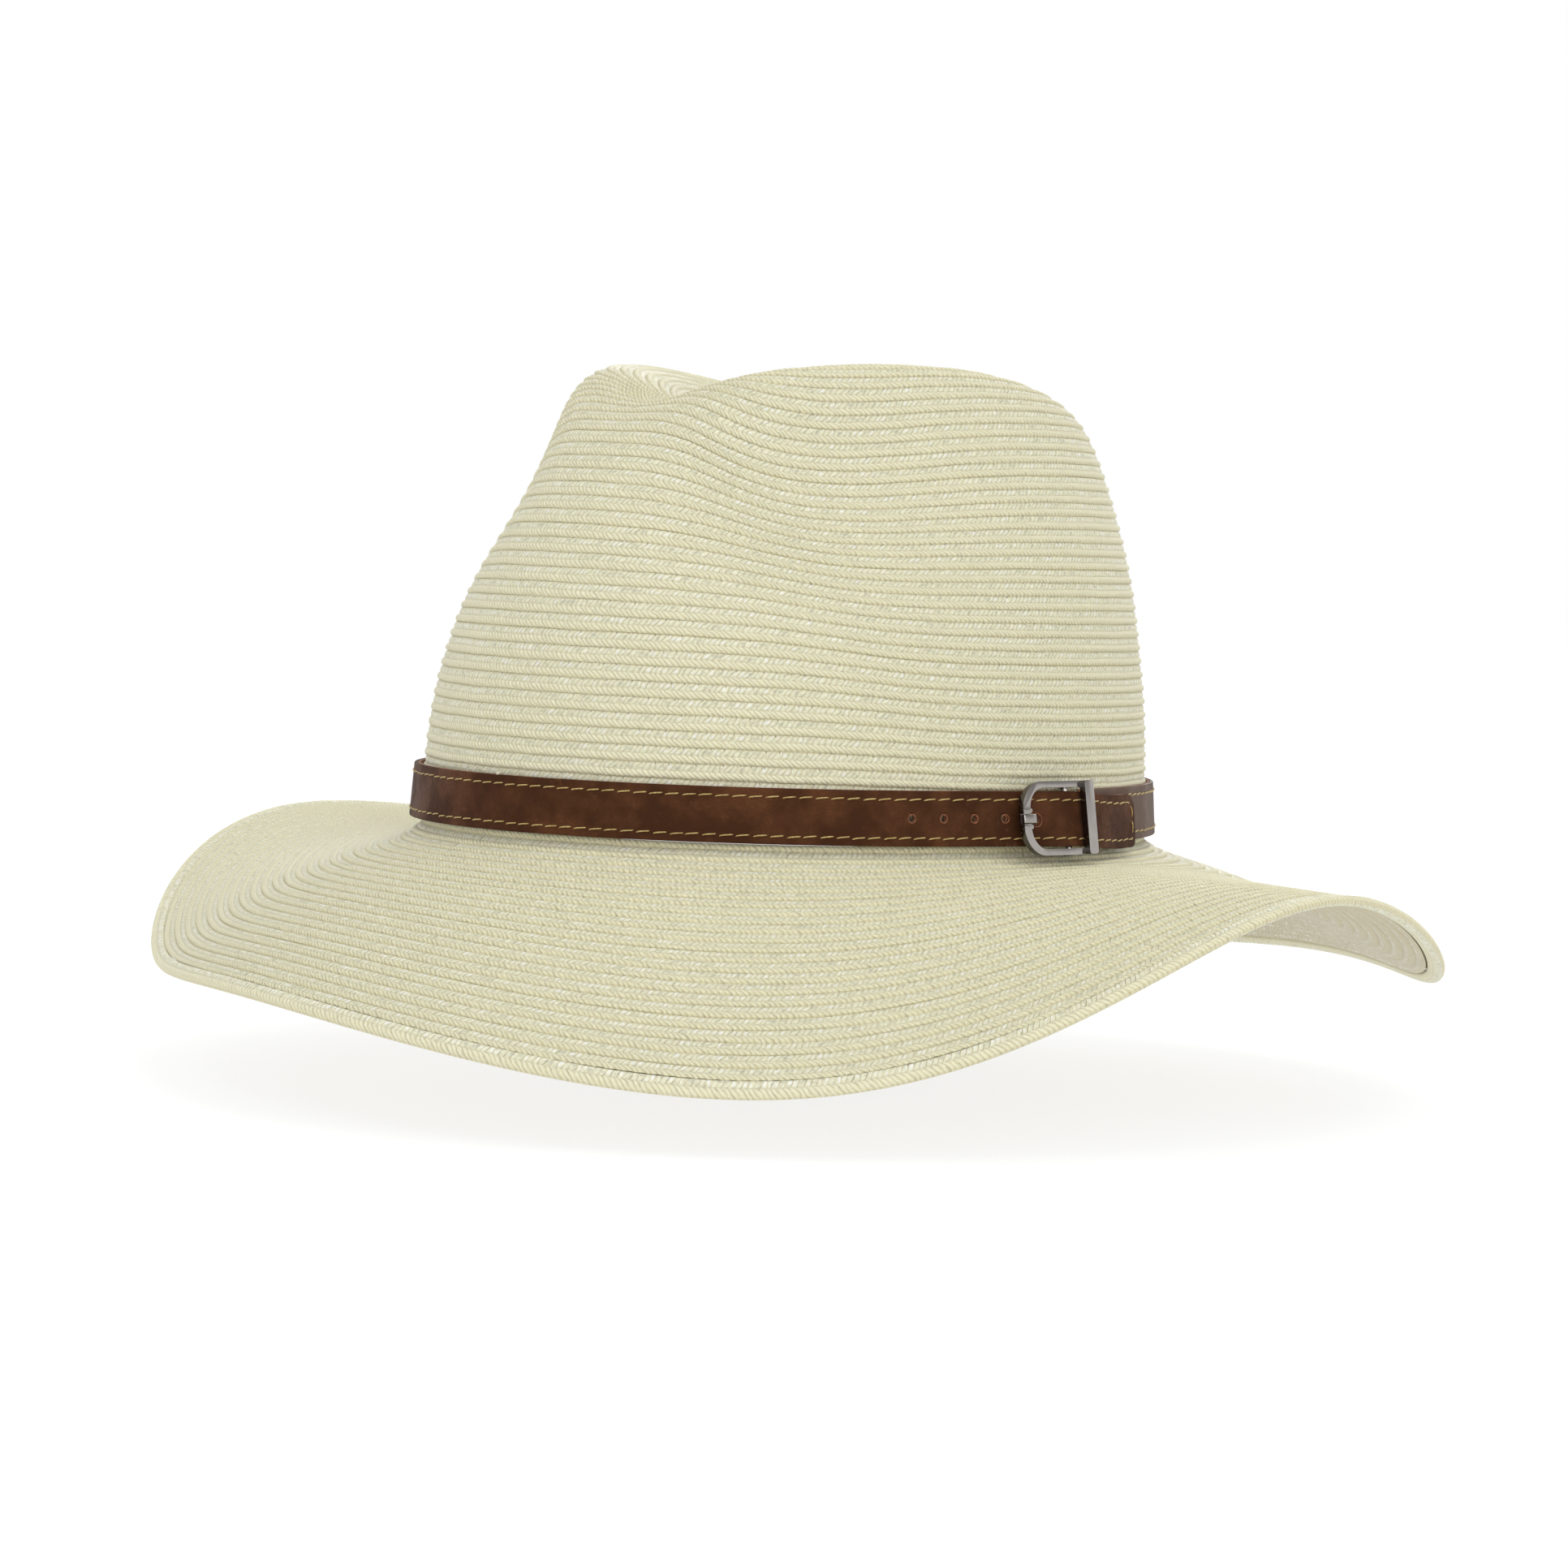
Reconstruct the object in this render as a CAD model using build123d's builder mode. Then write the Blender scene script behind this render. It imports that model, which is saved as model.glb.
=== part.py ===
"""A sewn-braid sun hat with a dented, pinched crown, a wavy brim and a buckled leather belt.

+Z is up, the front of the hat faces -Y and the wearer's left is +X. The origin is the centre
of the head opening, in the headline plane where the crown meets the brim. Sizes are in mm.
"""
from build123d import *
from math import cos, exp, hypot, pi, radians, sin, sqrt, tan
import os

# Crown: outside of the oval at the headline, and the wall up to the crest and into the dent
HALF_WIDTH = 88.0
HALF_LENGTH = 102.0
BRAID_THICKNESS = 2.0
# control points of the wall's curve: share of the headline oval, height
CROWN_PROFILE = [
    (1.0, 0.0), (1.0, 25.0), (0.96, 46.0), (0.91, 71.0), (0.775, 103.0),
    (0.70, 113.0), (0.56, 117.0), (0.24, 99.0), (0.05, 92.0),
]
DENT_FLOOR = CROWN_PROFILE[-1][1]
CROWN_HEIGHT = 120.0
CREST_SETBACK = 9.0
FRONT_TAPER = 0.065
CREST_SIDE_LIFT = 0.04
CREST_FRONT_LIFT = 0.05
DIMPLE_DEPTH = 10.5
DIMPLE_TURN = 52.0
DIMPLE_SPREAD = 20.0
DIMPLE_HEIGHT = 87.0
DIMPLE_TALL = 17.0
DIMPLE_BLEND = 0.15
NOTCH_DEPTH = 7.0
NOTCH_SPREAD = 17.0
NOTCH_REACH = 0.68
NOTCH_REACH_SPREAD = 0.2
NOTCH_FROM, NOTCH_FULL = 60.0, 110.0
# how the lifts and pinches fade in up the wall and fade out towards the dent's middle
LIFT_FULL = 0.625
SETBACK_POWER = 1.7
FADE_REACH, FADE_SPAN = 0.05, 0.4
DIMPLE_FADE_REACH, DIMPLE_FADE_SPAN = 0.15, 0.5

# Brim: its usual width along the cloth, its width at eight compass points, the edge's height at
# sixteen and the power of its sag, front first, then towards the wearer's left
BRIM_WIDTH = 87.5
BRIM_WIDTHS = [81.8, 90.7, 81.8, 88.5, 88.6, 87.5, 90.1, 80.9]
BRIM_EDGE_HEIGHTS = [
    -40.2, -49.0, -53.6, -36.0, -10.0, -15.8, -34.8, -36.5,
    -36.1, -29.5, -9.5, -8.3, -5.1, -15.9, -36.0, -39.1,
]
BRIM_SAG_POWER = 1.46
BRIM_FLARE = 5.0
EDGE_BRAID_WIDTH = 4.5
EDGE_BRAID_THICKNESS = 3.0
EDGE_ROUNDING = 0.3
PIECE_GAP = 0.05

# Sweatband inside the crown
SWEATBAND_THICKNESS = 1.2
SWEATBAND_BOTTOM = 0.6
SWEATBAND_HEIGHT = 32.0
SWEATBAND_GAP = 0.2
SWEATBAND_LEAN = 2.9
SEAM_TAB_WIDTH = 14.0
LABEL_WIDTH = 26.0
LABEL_HEIGHT = 14.0
LABEL_TURN = 150.0
LABEL_UP = 3.4
SEAM_TAB_THICKNESS = 0.6
SEAM_TAB_UP = 2.8
LABEL_THICKNESS = 0.3
PATCH_CORNER = 0.8
# a flat patch on the curved band stands off it by this much, so that its ends stay clear
SEAM_TAB_OFF = 0.5
LABEL_OFF = 1.25
BAND_STITCH_UP = 1.6

# Belt: two plies sewn together, wound once round the crown with its free end on top
BELT_WIDTH = 13.7
BELT_BOTTOM = 0.2
BELT_MIDDLE = BELT_BOTTOM + BELT_WIDTH / 2
LINING_THICKNESS = 0.6
LEATHER_THICKNESS = 1.0
STRAP_THICKNESS = LINING_THICKNESS + LEATHER_THICKNESS
PLY_GAP = 0.02
BELT_REST = 0.8
BELT_LEAN = 4.0
BUCKLE_LEAN = 9.0
LEAN_REACH = 22.0
# how far the strap bows out: where it starts, where it climbs to the bar, and past the bar
START_BOW, START_BOW_REACH = 2.3, 15.0
CLIMB_BOW, CLIMB_BOW_REACH = 4.25, 20.0
END_REST, END_BOW, END_BOW_REACH = 2.6, 2.45, 20.0
BOW_POWER = 2.5
STRAP_START = 6.0
STRAP_TAIL = 33.0
HOLE_PITCH = 8.8
# the tongue's hole is drawn out to the left, so its middle is this far from the punched one
HOLE_DRAWN = 1.3
HOLE_DIAMETER = 2.0
HOLES_LEFT = 4
SLOT_LENGTH = 5.4
SLOT_WIDTH = 3.2
SLOT_DROP = 0.3
TIP_UPPER_RADIUS = 4.5
TIP_LOWER_RADIUS = 2.0
TIP_LENGTH = 6.0
PUNCH_MARGIN = 1.0
STITCH_MARGIN = 2.1
STITCH_START = 3.0
TIP_STITCH_BOTTOM = 1.5
TIP_STITCH_TOP = 3.0
THREAD = 0.45
THREAD_RELIEF = 0.25
TACK_TURNS = [0.0, 180.0, 270.0]
TACK_SIZE = 1.2
TACK_HEIGHT = 0.5
TACK_OUT = 0.75
TACK_UP = 0.35
BELT_STEP = 14.0
BUCKLE_STEP = 4.0
BUCKLE_REACH = 50.0

# Buckle: t runs along the belt towards the back of the hat, n stands out from the crown
BUCKLE_TURN = 94.0
BUCKLE_SEAT = 4.0
BUCKLE_DROP = 0.9
BAR_OUT = 3.2
BAR_RADIUS = 0.8
FRAME_LEFT = -20.4
FRAME_RIGHT = 5.0
FRAME_HALF_HEIGHT = 9.3
RAIL = 1.6
ARC_WIDTH = 2.7
ARC_CORNER = 7.5
OPENING_CORNER = 5.4
KEEPER_CORNER = 0.9
FRAME_BACK = 5.6
FRAME_THICKNESS = 1.6
KEEPER_WIDTH = 3.3
KEEPER_BACK = 7.0
KEEPER_THICKNESS = 1.8
LUG_HALF_WIDTH = 1.4
NOTCH_FLOOR = 6.15
NOTCH_CLEARANCE = 0.3
BOSS_WIDTH = 1.1
BOSS_RISE = 0.35
TONGUE_WIDTH = 2.2
TONGUE_THICKNESS = 1.1
EYE_RADIUS = 1.55
EYE_CLEARANCE = 0.08
TONGUE_HOLE = -14.7
CHAPE_PLY = 0.7
CHAPE_CLEARANCE = 0.15
CHAPE_TAIL = 7.5
TONGUE_FOOT = -13.2
TONGUE_KNEE = -15.7
TONGUE_BEND = 0.8
TONGUE_SHANK_OUT = 1.9

RING_POINTS = 48
OVAL_STEPS = 1440


def curve_point(control, share):
    """A point of the clamped cubic B-spline over the control points, 0 to 1 along it."""
    degree = 3
    last = len(control) - 1
    inner = [k / (last - degree + 1) for k in range(1, last - degree + 1)]
    knots = [0.0] * (degree + 1) + inner + [1.0] * (degree + 1)
    span = degree
    while span < last and share >= knots[span + 1]:
        span += 1
    points = [list(control[span - degree + k]) for k in range(degree + 1)]
    for level in range(1, degree + 1):
        for k in range(degree, level - 1, -1):
            low = knots[span - degree + k]
            high = knots[span + 1 + k - level]
            part = (share - low) / (high - low)
            points[k] = [a + part * (b - a) for a, b in zip(points[k - 1], points[k])]
    return points[degree]


def bell(value, centre, spread):
    return exp(-0.5 * ((value - centre) / spread) ** 2)


def limited(value):
    return min(max(value, 0.0), 1.0)


def signed_degrees(turn):
    """The turn in degrees, from -180 to 180, with 0 at the front."""
    return (turn * 180 / pi + 180) % 360 - 180


def crown_point(turn, share):
    """The crown's outside, from the headline (share 0) over the crest to the dent's floor."""
    reach, height = curve_point(CROWN_PROFILE, share)
    degrees = signed_degrees(turn)
    side, front = sin(turn), cos(turn)
    rise = min(max(height / CROWN_HEIGHT, 0.0), 1.1)
    climb = limited(share / LIFT_FULL)
    climb = climb * climb * (3 - 2 * climb)
    inside = limited((reach - FADE_REACH) / FADE_SPAN)
    lift = -CREST_SIDE_LIFT * cos(2 * turn) + CREST_FRONT_LIFT * front
    x = HALF_WIDTH * reach * side * (1 - FRONT_TAPER * rise**2 * front)
    y = -HALF_LENGTH * reach * front + CREST_SETBACK * rise**SETBACK_POWER
    z = height * (1 + lift * climb * inside)
    dimple = DIMPLE_DEPTH * bell(abs(degrees), DIMPLE_TURN, DIMPLE_SPREAD)
    dimple *= bell(height, DIMPLE_HEIGHT, DIMPLE_TALL)
    dimple *= limited((reach - DIMPLE_FADE_REACH) / DIMPLE_FADE_SPAN)
    x -= dimple * sin(radians(DIMPLE_TURN)) * max(-1.0, min(side / DIMPLE_BLEND, 1.0))
    y += dimple * cos(radians(DIMPLE_TURN))
    notch = NOTCH_DEPTH * bell(degrees, 0, NOTCH_SPREAD)
    notch *= bell(reach, NOTCH_REACH, NOTCH_REACH_SPREAD)
    z -= notch * limited((height - NOTCH_FROM) / (NOTCH_FULL - NOTCH_FROM)) * inside
    return Vector(x, y, z)


def oval_point(turn, out=0.0):
    """A point in plan, this far outside the headline oval."""
    nx, ny = sin(turn) / HALF_WIDTH, -cos(turn) / HALF_LENGTH
    size = hypot(nx, ny)
    return HALF_WIDTH * sin(turn) + out * nx / size, -HALF_LENGTH * cos(turn) + out * ny / size


def wave(values, turn):
    """The smooth closed wave through values that are evenly spaced round the hat."""
    count = len(values)
    total = 0.0
    for k, value in enumerate(values):
        away = turn - 2 * pi * k / count
        if abs(sin(away / 2)) < 1e-9:
            return value
        total += value * sin(count * away / 2) / (count * tan(away / 2))
    return total


def brim_fall(turn, share):
    """The brim's height at this share of its width: a flare at the crown, then the wave."""
    flare = BRIM_FLARE * (1 - exp(-share * BRIM_WIDTH / BRIM_FLARE))
    full_flare = BRIM_FLARE * (1 - exp(-BRIM_WIDTH / BRIM_FLARE))
    return -flare + (wave(BRIM_EDGE_HEIGHTS, turn) + full_flare) * share**BRIM_SAG_POWER


def brim_point(turn, share):
    """The brim's upper face; its width is kept along the cloth, however it slopes."""
    steps = 40
    width = wave(BRIM_WIDTHS, turn)
    out = 0.0
    for k in range(steps):
        low, high = share * k / steps, share * (k + 1) / steps
        run = (high - low) * width
        drop = brim_fall(turn, high) - brim_fall(turn, low)
        out += sqrt(max(run**2 - drop**2, 0.0))
    x, y = oval_point(turn, out)
    return Vector(x, y, brim_fall(turn, share))


def inset_point(surface, turn, share, depth):
    """A point this deep under a surface, along the normal that points up or, on a wall, out."""
    step = 1e-3
    low, high = max(share - step, 0.0), min(share + step, 1.0)
    along = surface(turn, high) - surface(turn, low)
    around = surface(turn + step, share) - surface(turn - step, share)
    normal = around.cross(along).normalized()
    if normal.Z + 0.01 * normal.dot(Vector(sin(turn), -cos(turn), 0)) < 0:
        normal = -normal
    return surface(turn, share) - normal * depth


def ring(surface, share, depth=0.0):
    """A closed wire once round a surface at one share of its length."""
    turns = [2 * pi * k / RING_POINTS for k in range(RING_POINTS)]
    points = [inset_point(surface, turn, share, depth) for turn in turns]
    return Wire([Edge.make_spline(points, periodic=True)])


def flat_ring(surface, share, height):
    """The same wire pressed flat at one height, so that a loft can end on it."""
    turns = [2 * pi * k / RING_POINTS for k in range(RING_POINTS)]
    points = [surface(turn, share) for turn in turns]
    points = [Vector(p.X, p.Y, height) for p in points]
    return Wire([Edge.make_spline(points, periodic=True)])


def closed_skin(loops, lids=()):
    """A solid whose skin runs straight from wire to wire in each list, with flat lids if any."""
    faces = [Face(lid) for lid in lids]
    for wires in loops:
        faces += Shell.make_loft(wires, ruled=True).faces()
    return Solid(Shell(faces))


def oval_wire(out, height):
    """A level closed wire, this far outside the headline oval."""
    turns = [2 * pi * k / RING_POINTS for k in range(RING_POINTS)]
    points = [Vector(*oval_point(turn, out), height) for turn in turns]
    return Wire([Edge.make_spline(points, periodic=True)])


# Distance along the headline oval from the buckle's bar, towards the back of the hat
oval_turns = [radians(BUCKLE_TURN) + 2 * pi * k / OVAL_STEPS for k in range(OVAL_STEPS + 1)]
oval_lengths = [0.0]
for before, after in zip(oval_turns, oval_turns[1:]):
    (x0, y0), (x1, y1) = oval_point(before), oval_point(after)
    oval_lengths.append(oval_lengths[-1] + hypot(x1 - x0, y1 - y0))
ROUND = oval_lengths[-1]


def turn_at(distance):
    """The turn at a distance along the oval from the bar."""
    rest = distance % ROUND
    low, high = 0, OVAL_STEPS
    while high - low > 1:
        middle = (low + high) // 2
        if oval_lengths[middle] <= rest:
            low = middle
        else:
            high = middle
    part = (rest - oval_lengths[low]) / (oval_lengths[high] - oval_lengths[low])
    return oval_turns[low] + part * (oval_turns[high] - oval_turns[low])


def strap_out(distance):
    """How far the strap's inner face stands off the crown, over its whole winding."""
    if distance < ROUND / 2:
        return BELT_REST + START_BOW * exp(-abs(distance / START_BOW_REACH) ** BOW_POWER)
    past = distance - ROUND
    if past < 0:
        return BELT_REST + CLIMB_BOW * exp(-abs(past / CLIMB_BOW_REACH) ** BOW_POWER)
    return END_REST + END_BOW * exp(-abs(past / END_BOW_REACH) ** BOW_POWER)


def strap_lean(distance):
    """How far the belt's lower edge leans out, in degrees: more at the buckle."""
    past = min(distance, abs(distance - ROUND))
    return BELT_LEAN + (BUCKLE_LEAN - BELT_LEAN) * exp(-((past / LEAN_REACH) ** 2))


def belt_point(distance, depth, height):
    """A point of the belt, this far outside the strap's inner face."""
    lean = (BELT_MIDDLE - height) * tan(radians(strap_lean(distance)))
    x, y = oval_point(turn_at(distance), strap_out(distance) + depth + lean)
    return Vector(x, y, height)


def strap_distances(start, end):
    """Stations along the belt, close together where it climbs over the buckle."""
    stations = [start]
    while stations[-1] < end - 1e-6:
        here = stations[-1]
        near = min(here, abs(here - ROUND)) < BUCKLE_REACH
        stations.append(min(here + (BUCKLE_STEP if near else BELT_STEP), end))
    if len(stations) > 2 and stations[-1] - stations[-2] < BUCKLE_STEP / 2:
        stations.pop(-2)
    return stations


def belt_band(start, end, depth, thickness, bottom, top):
    """A closed band of the belt between two depths and two heights."""
    stations = strap_distances(start, end)
    with BuildPart() as band:
        for height in (bottom, top):
            outside = [belt_point(d, depth + thickness, height) for d in stations]
            inside = [belt_point(d, depth, height) for d in stations]
            with BuildSketch(Plane.XY.offset(height)):
                with BuildLine():
                    outer_line = Spline([(p.X, p.Y) for p in outside])
                    inner_line = Spline([(p.X, p.Y) for p in inside])
                    Line(outer_line @ 0, inner_line @ 0)
                    Line(outer_line @ 1, inner_line @ 1)
                make_face()
        loft(ruled=True)
    return band.part


def belt_plane(distance, depth):
    """A plane on the belt at mid height: x along the belt to the back, z out of the hat."""
    here = belt_point(distance, depth, BELT_MIDDLE)
    along = belt_point(distance + 0.5, depth, BELT_MIDDLE) - here
    up = belt_point(distance, depth, BELT_MIDDLE + 1) - here
    return Plane(origin=here, x_dir=along, z_dir=along.cross(up))


# The buckle's own planes, tipped so that its lower edge stands further out
bar_turn = radians(BUCKLE_TURN)
bar_x, bar_y = oval_point(bar_turn)
step_x, step_y = oval_point(bar_turn + 1e-4)
tangent = Vector(step_x - bar_x, step_y - bar_y, 0).normalized()
outward = tangent.cross(Vector(0, 0, 1))
seat = radians(BUCKLE_SEAT)
tangent, outward = tangent * cos(seat) + outward * sin(seat), outward * cos(seat) - tangent * sin(seat)
tip = radians(BUCKLE_LEAN)
buckle_normal = outward * cos(tip) + Vector(0, 0, 1) * sin(tip)
buckle_up = Vector(0, 0, 1) * cos(tip) - outward * sin(tip)
buckle_origin = Vector(bar_x, bar_y, BELT_MIDDLE) - buckle_up * BUCKLE_DROP
buckle_face = Plane(origin=buckle_origin, x_dir=tangent, z_dir=buckle_normal)
buckle_section = Plane(origin=buckle_origin, x_dir=buckle_normal, z_dir=buckle_up)

# ---------------------------------------------------------------- crown, brim and edge
CROWN_STATIONS = [0.1, 0.2, 0.28, 0.35, 0.42, 0.48, 0.53, 0.58, 0.63, 0.68, 0.73, 0.78, 0.83, 0.88, 0.94]
outside_rings = [ring(crown_point, share) for share in CROWN_STATIONS]
inside_rings = [ring(crown_point, share, BRAID_THICKNESS) for share in CROWN_STATIONS]
crown_foot = oval_wire(0, 0)
inner_foot = oval_wire(-BRAID_THICKNESS, 0)
crown_tip = flat_ring(crown_point, 1, DENT_FLOOR)
inner_tip = flat_ring(crown_point, 1, DENT_FLOOR - BRAID_THICKNESS)

with BuildPart() as crown:
    add(closed_skin(
        [
            [crown_foot] + outside_rings + [crown_tip],
            [inner_foot] + inside_rings + [inner_tip],
            [inner_foot, crown_foot],
        ],
        lids=[crown_tip, inner_tip],
    ))

edge_share = 1 - EDGE_BRAID_WIDTH / BRIM_WIDTH
BRIM_STATIONS = [0.01, 0.025, 0.045, 0.08, 0.14, 0.22, 0.34, 0.48, 0.62, 0.76, 0.88]
top_rings = [crown_foot] + [ring(brim_point, share) for share in BRIM_STATIONS + [edge_share]]
under_rings = [inner_foot]
under_rings += [ring(brim_point, share, BRAID_THICKNESS) for share in BRIM_STATIONS + [edge_share]]

with BuildPart() as brim:
    add(closed_skin(
        [top_rings, [top_rings[-1], under_rings[-1]], under_rings, [inner_foot, crown_foot]]
    ))

edge_start = edge_share + PIECE_GAP / BRIM_WIDTH
edge_lip = (EDGE_BRAID_THICKNESS - BRAID_THICKNESS) / 2
edge_section = [
    ring(brim_point, edge_start, -edge_lip),
    ring(brim_point, (edge_start + 2) / 3, -edge_lip),
    ring(brim_point, 1, EDGE_ROUNDING),
    ring(brim_point, 1, BRAID_THICKNESS - EDGE_ROUNDING),
    ring(brim_point, (edge_start + 2) / 3, BRAID_THICKNESS + edge_lip),
    ring(brim_point, edge_start, BRAID_THICKNESS + edge_lip),
]
edge_pairs = list(zip(edge_section, edge_section[1:] + edge_section[:1]))

with BuildPart() as brim_edge_braid:
    add(closed_skin([list(pair) for pair in edge_pairs]))

# ---------------------------------------------------------------- sweatband
band_outside = -BRAID_THICKNESS - SWEATBAND_GAP
band_inside = band_outside - SWEATBAND_THICKNESS
band_top = SWEATBAND_BOTTOM + SWEATBAND_HEIGHT
band_slope = SWEATBAND_LEAN / SWEATBAND_HEIGHT


def band_face(height):
    """How far the sweatband's inner face is outside the headline oval, so below zero."""
    return band_inside - band_slope * (height - SWEATBAND_BOTTOM)


def band_ring(thickness, depth, bottom, top):
    """A closed band that follows the sweatband's inner face, this far off it."""
    corners = [
        oval_wire(band_face(bottom) - depth, bottom),
        oval_wire(band_face(top) - depth, top),
        oval_wire(band_face(top) - depth - thickness, top),
        oval_wire(band_face(bottom) - depth - thickness, bottom),
    ]
    return closed_skin([list(pair) for pair in zip(corners, corners[1:] + corners[:1])])


with BuildPart() as sweatband:
    add(band_ring(SWEATBAND_THICKNESS, -SWEATBAND_THICKNESS, SWEATBAND_BOTTOM, band_top))

stitch_height = SWEATBAND_BOTTOM + BAND_STITCH_UP
with BuildPart() as sweatband_stitching:
    add(band_ring(THREAD_RELIEF, PLY_GAP, stitch_height, stitch_height + THREAD))


def inside_patch(turn_degrees, width, height, thickness, up, depth):
    """A flat patch on the sweatband's inner face."""
    turn = radians(turn_degrees)
    middle = SWEATBAND_BOTTOM + up + height / 2
    x, y = oval_point(turn, band_face(middle) - depth)
    ahead_x, ahead_y = oval_point(turn + 1e-4, band_face(middle) - depth)
    along = Vector(ahead_x - x, ahead_y - y, 0).normalized()
    inward = Vector(0, 0, 1).cross(along) - Vector(0, 0, 1) * band_slope
    with BuildPart() as patch:
        with BuildSketch(Plane(origin=(x, y, middle), x_dir=along, z_dir=inward)):
            RectangleRounded(width, height, PATCH_CORNER)
        extrude(amount=thickness)
    return patch.part


sweatband_seam_tab = inside_patch(
    180, SEAM_TAB_WIDTH, SWEATBAND_HEIGHT - 5, SEAM_TAB_THICKNESS, SEAM_TAB_UP, SEAM_TAB_OFF
)
size_label = inside_patch(
    LABEL_TURN, LABEL_WIDTH, LABEL_HEIGHT, LABEL_THICKNESS, LABEL_UP, LABEL_OFF
)

# ---------------------------------------------------------------- belt
belt_end = ROUND + STRAP_TAIL
belt_top = BELT_BOTTOM + BELT_WIDTH
tongue_distance = ROUND + TONGUE_HOLE


with BuildPart() as belt_punches:
    with BuildSketch(belt_plane(tongue_distance, -PUNCH_MARGIN)):
        with Locations((0, -SLOT_DROP)):
            SlotOverall(SLOT_LENGTH, SLOT_WIDTH)
    for k in range(1, HOLES_LEFT + 1):
        hole_distance = tongue_distance + HOLE_DRAWN - k * HOLE_PITCH
        with BuildSketch(belt_plane(hole_distance, -PUNCH_MARGIN)):
            Circle(HOLE_DIAMETER / 2)
    extrude(amount=STRAP_THICKNESS + 2 * PUNCH_MARGIN)


# what lies outside the rounded end of the belt, to be cut away
tip_place = belt_plane(belt_end - TIP_LENGTH, -PUNCH_MARGIN)
with BuildPart() as belt_tip_waste:
    with BuildSketch(tip_place):
        with Locations((TIP_LENGTH, 0)):
            Rectangle(2 * TIP_LENGTH, BELT_WIDTH + 4 * PUNCH_MARGIN)
        with BuildSketch(mode=Mode.SUBTRACT):
            with Locations((TIP_LENGTH / 2 - 2, 0)):
                kept = Rectangle(TIP_LENGTH + 4, BELT_WIDTH)
            end_corners = kept.vertices().group_by(Axis.X)[-1].sort_by(Axis.Y)
            fillet(end_corners[-1], radius=TIP_UPPER_RADIUS)
            end_corners = kept.vertices().group_by(Axis.X)[-1].sort_by(Axis.Y)
            fillet(end_corners[0], radius=TIP_LOWER_RADIUS)
    extrude(amount=STRAP_THICKNESS + 2 * PUNCH_MARGIN)

with BuildPart() as belt_lining:
    add(belt_band(STRAP_START, belt_end, 0, LINING_THICKNESS, BELT_BOTTOM, belt_top))
    add(belt_punches.part, mode=Mode.SUBTRACT)
    add(belt_tip_waste.part, mode=Mode.SUBTRACT)

leather_depth = LINING_THICKNESS + PLY_GAP
with BuildPart() as belt_strap:
    add(belt_band(
        STRAP_START, belt_end, leather_depth, STRAP_THICKNESS - leather_depth, BELT_BOTTOM, belt_top
    ))
    add(belt_punches.part, mode=Mode.SUBTRACT)
    add(belt_tip_waste.part, mode=Mode.SUBTRACT)

thread_depth = STRAP_THICKNESS + PLY_GAP
stitch_start = STRAP_START + STITCH_START
stitch_end = belt_end - TIP_LENGTH
upper_stitch = belt_top - STITCH_MARGIN
lower_stitch = BELT_BOTTOM + STITCH_MARGIN
belt_stitching_upper = belt_band(
    stitch_start, stitch_end, thread_depth, THREAD_RELIEF, upper_stitch - THREAD, upper_stitch
)
belt_stitching_lower = belt_band(
    stitch_start, stitch_end, thread_depth, THREAD_RELIEF, lower_stitch, lower_stitch + THREAD
)
tip_stitch_place = belt_end - STITCH_MARGIN
belt_tip_stitching = belt_band(
    tip_stitch_place - THREAD, tip_stitch_place, thread_depth, THREAD_RELIEF,
    lower_stitch + TIP_STITCH_BOTTOM, upper_stitch - TIP_STITCH_TOP
)

with BuildPart() as belt_tacks:
    for tack_turn in TACK_TURNS:
        tack_x, tack_y = oval_point(radians(tack_turn), TACK_OUT)
        with Locations((tack_x, tack_y, belt_top + TACK_UP)):
            Box(TACK_SIZE, TACK_SIZE, TACK_HEIGHT)

# ---------------------------------------------------------------- buckle
frame_middle = (FRAME_LEFT + FRAME_RIGHT) / 2
frame_length = FRAME_RIGHT - FRAME_LEFT
opening_left = FRAME_LEFT + ARC_WIDTH
opening_right = FRAME_RIGHT - KEEPER_WIDTH
opening_half = FRAME_HALF_HEIGHT - RAIL
boss_middle = (TONGUE_WIDTH + NOTCH_CLEARANCE + BOSS_WIDTH) / 2 + 0.25


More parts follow.
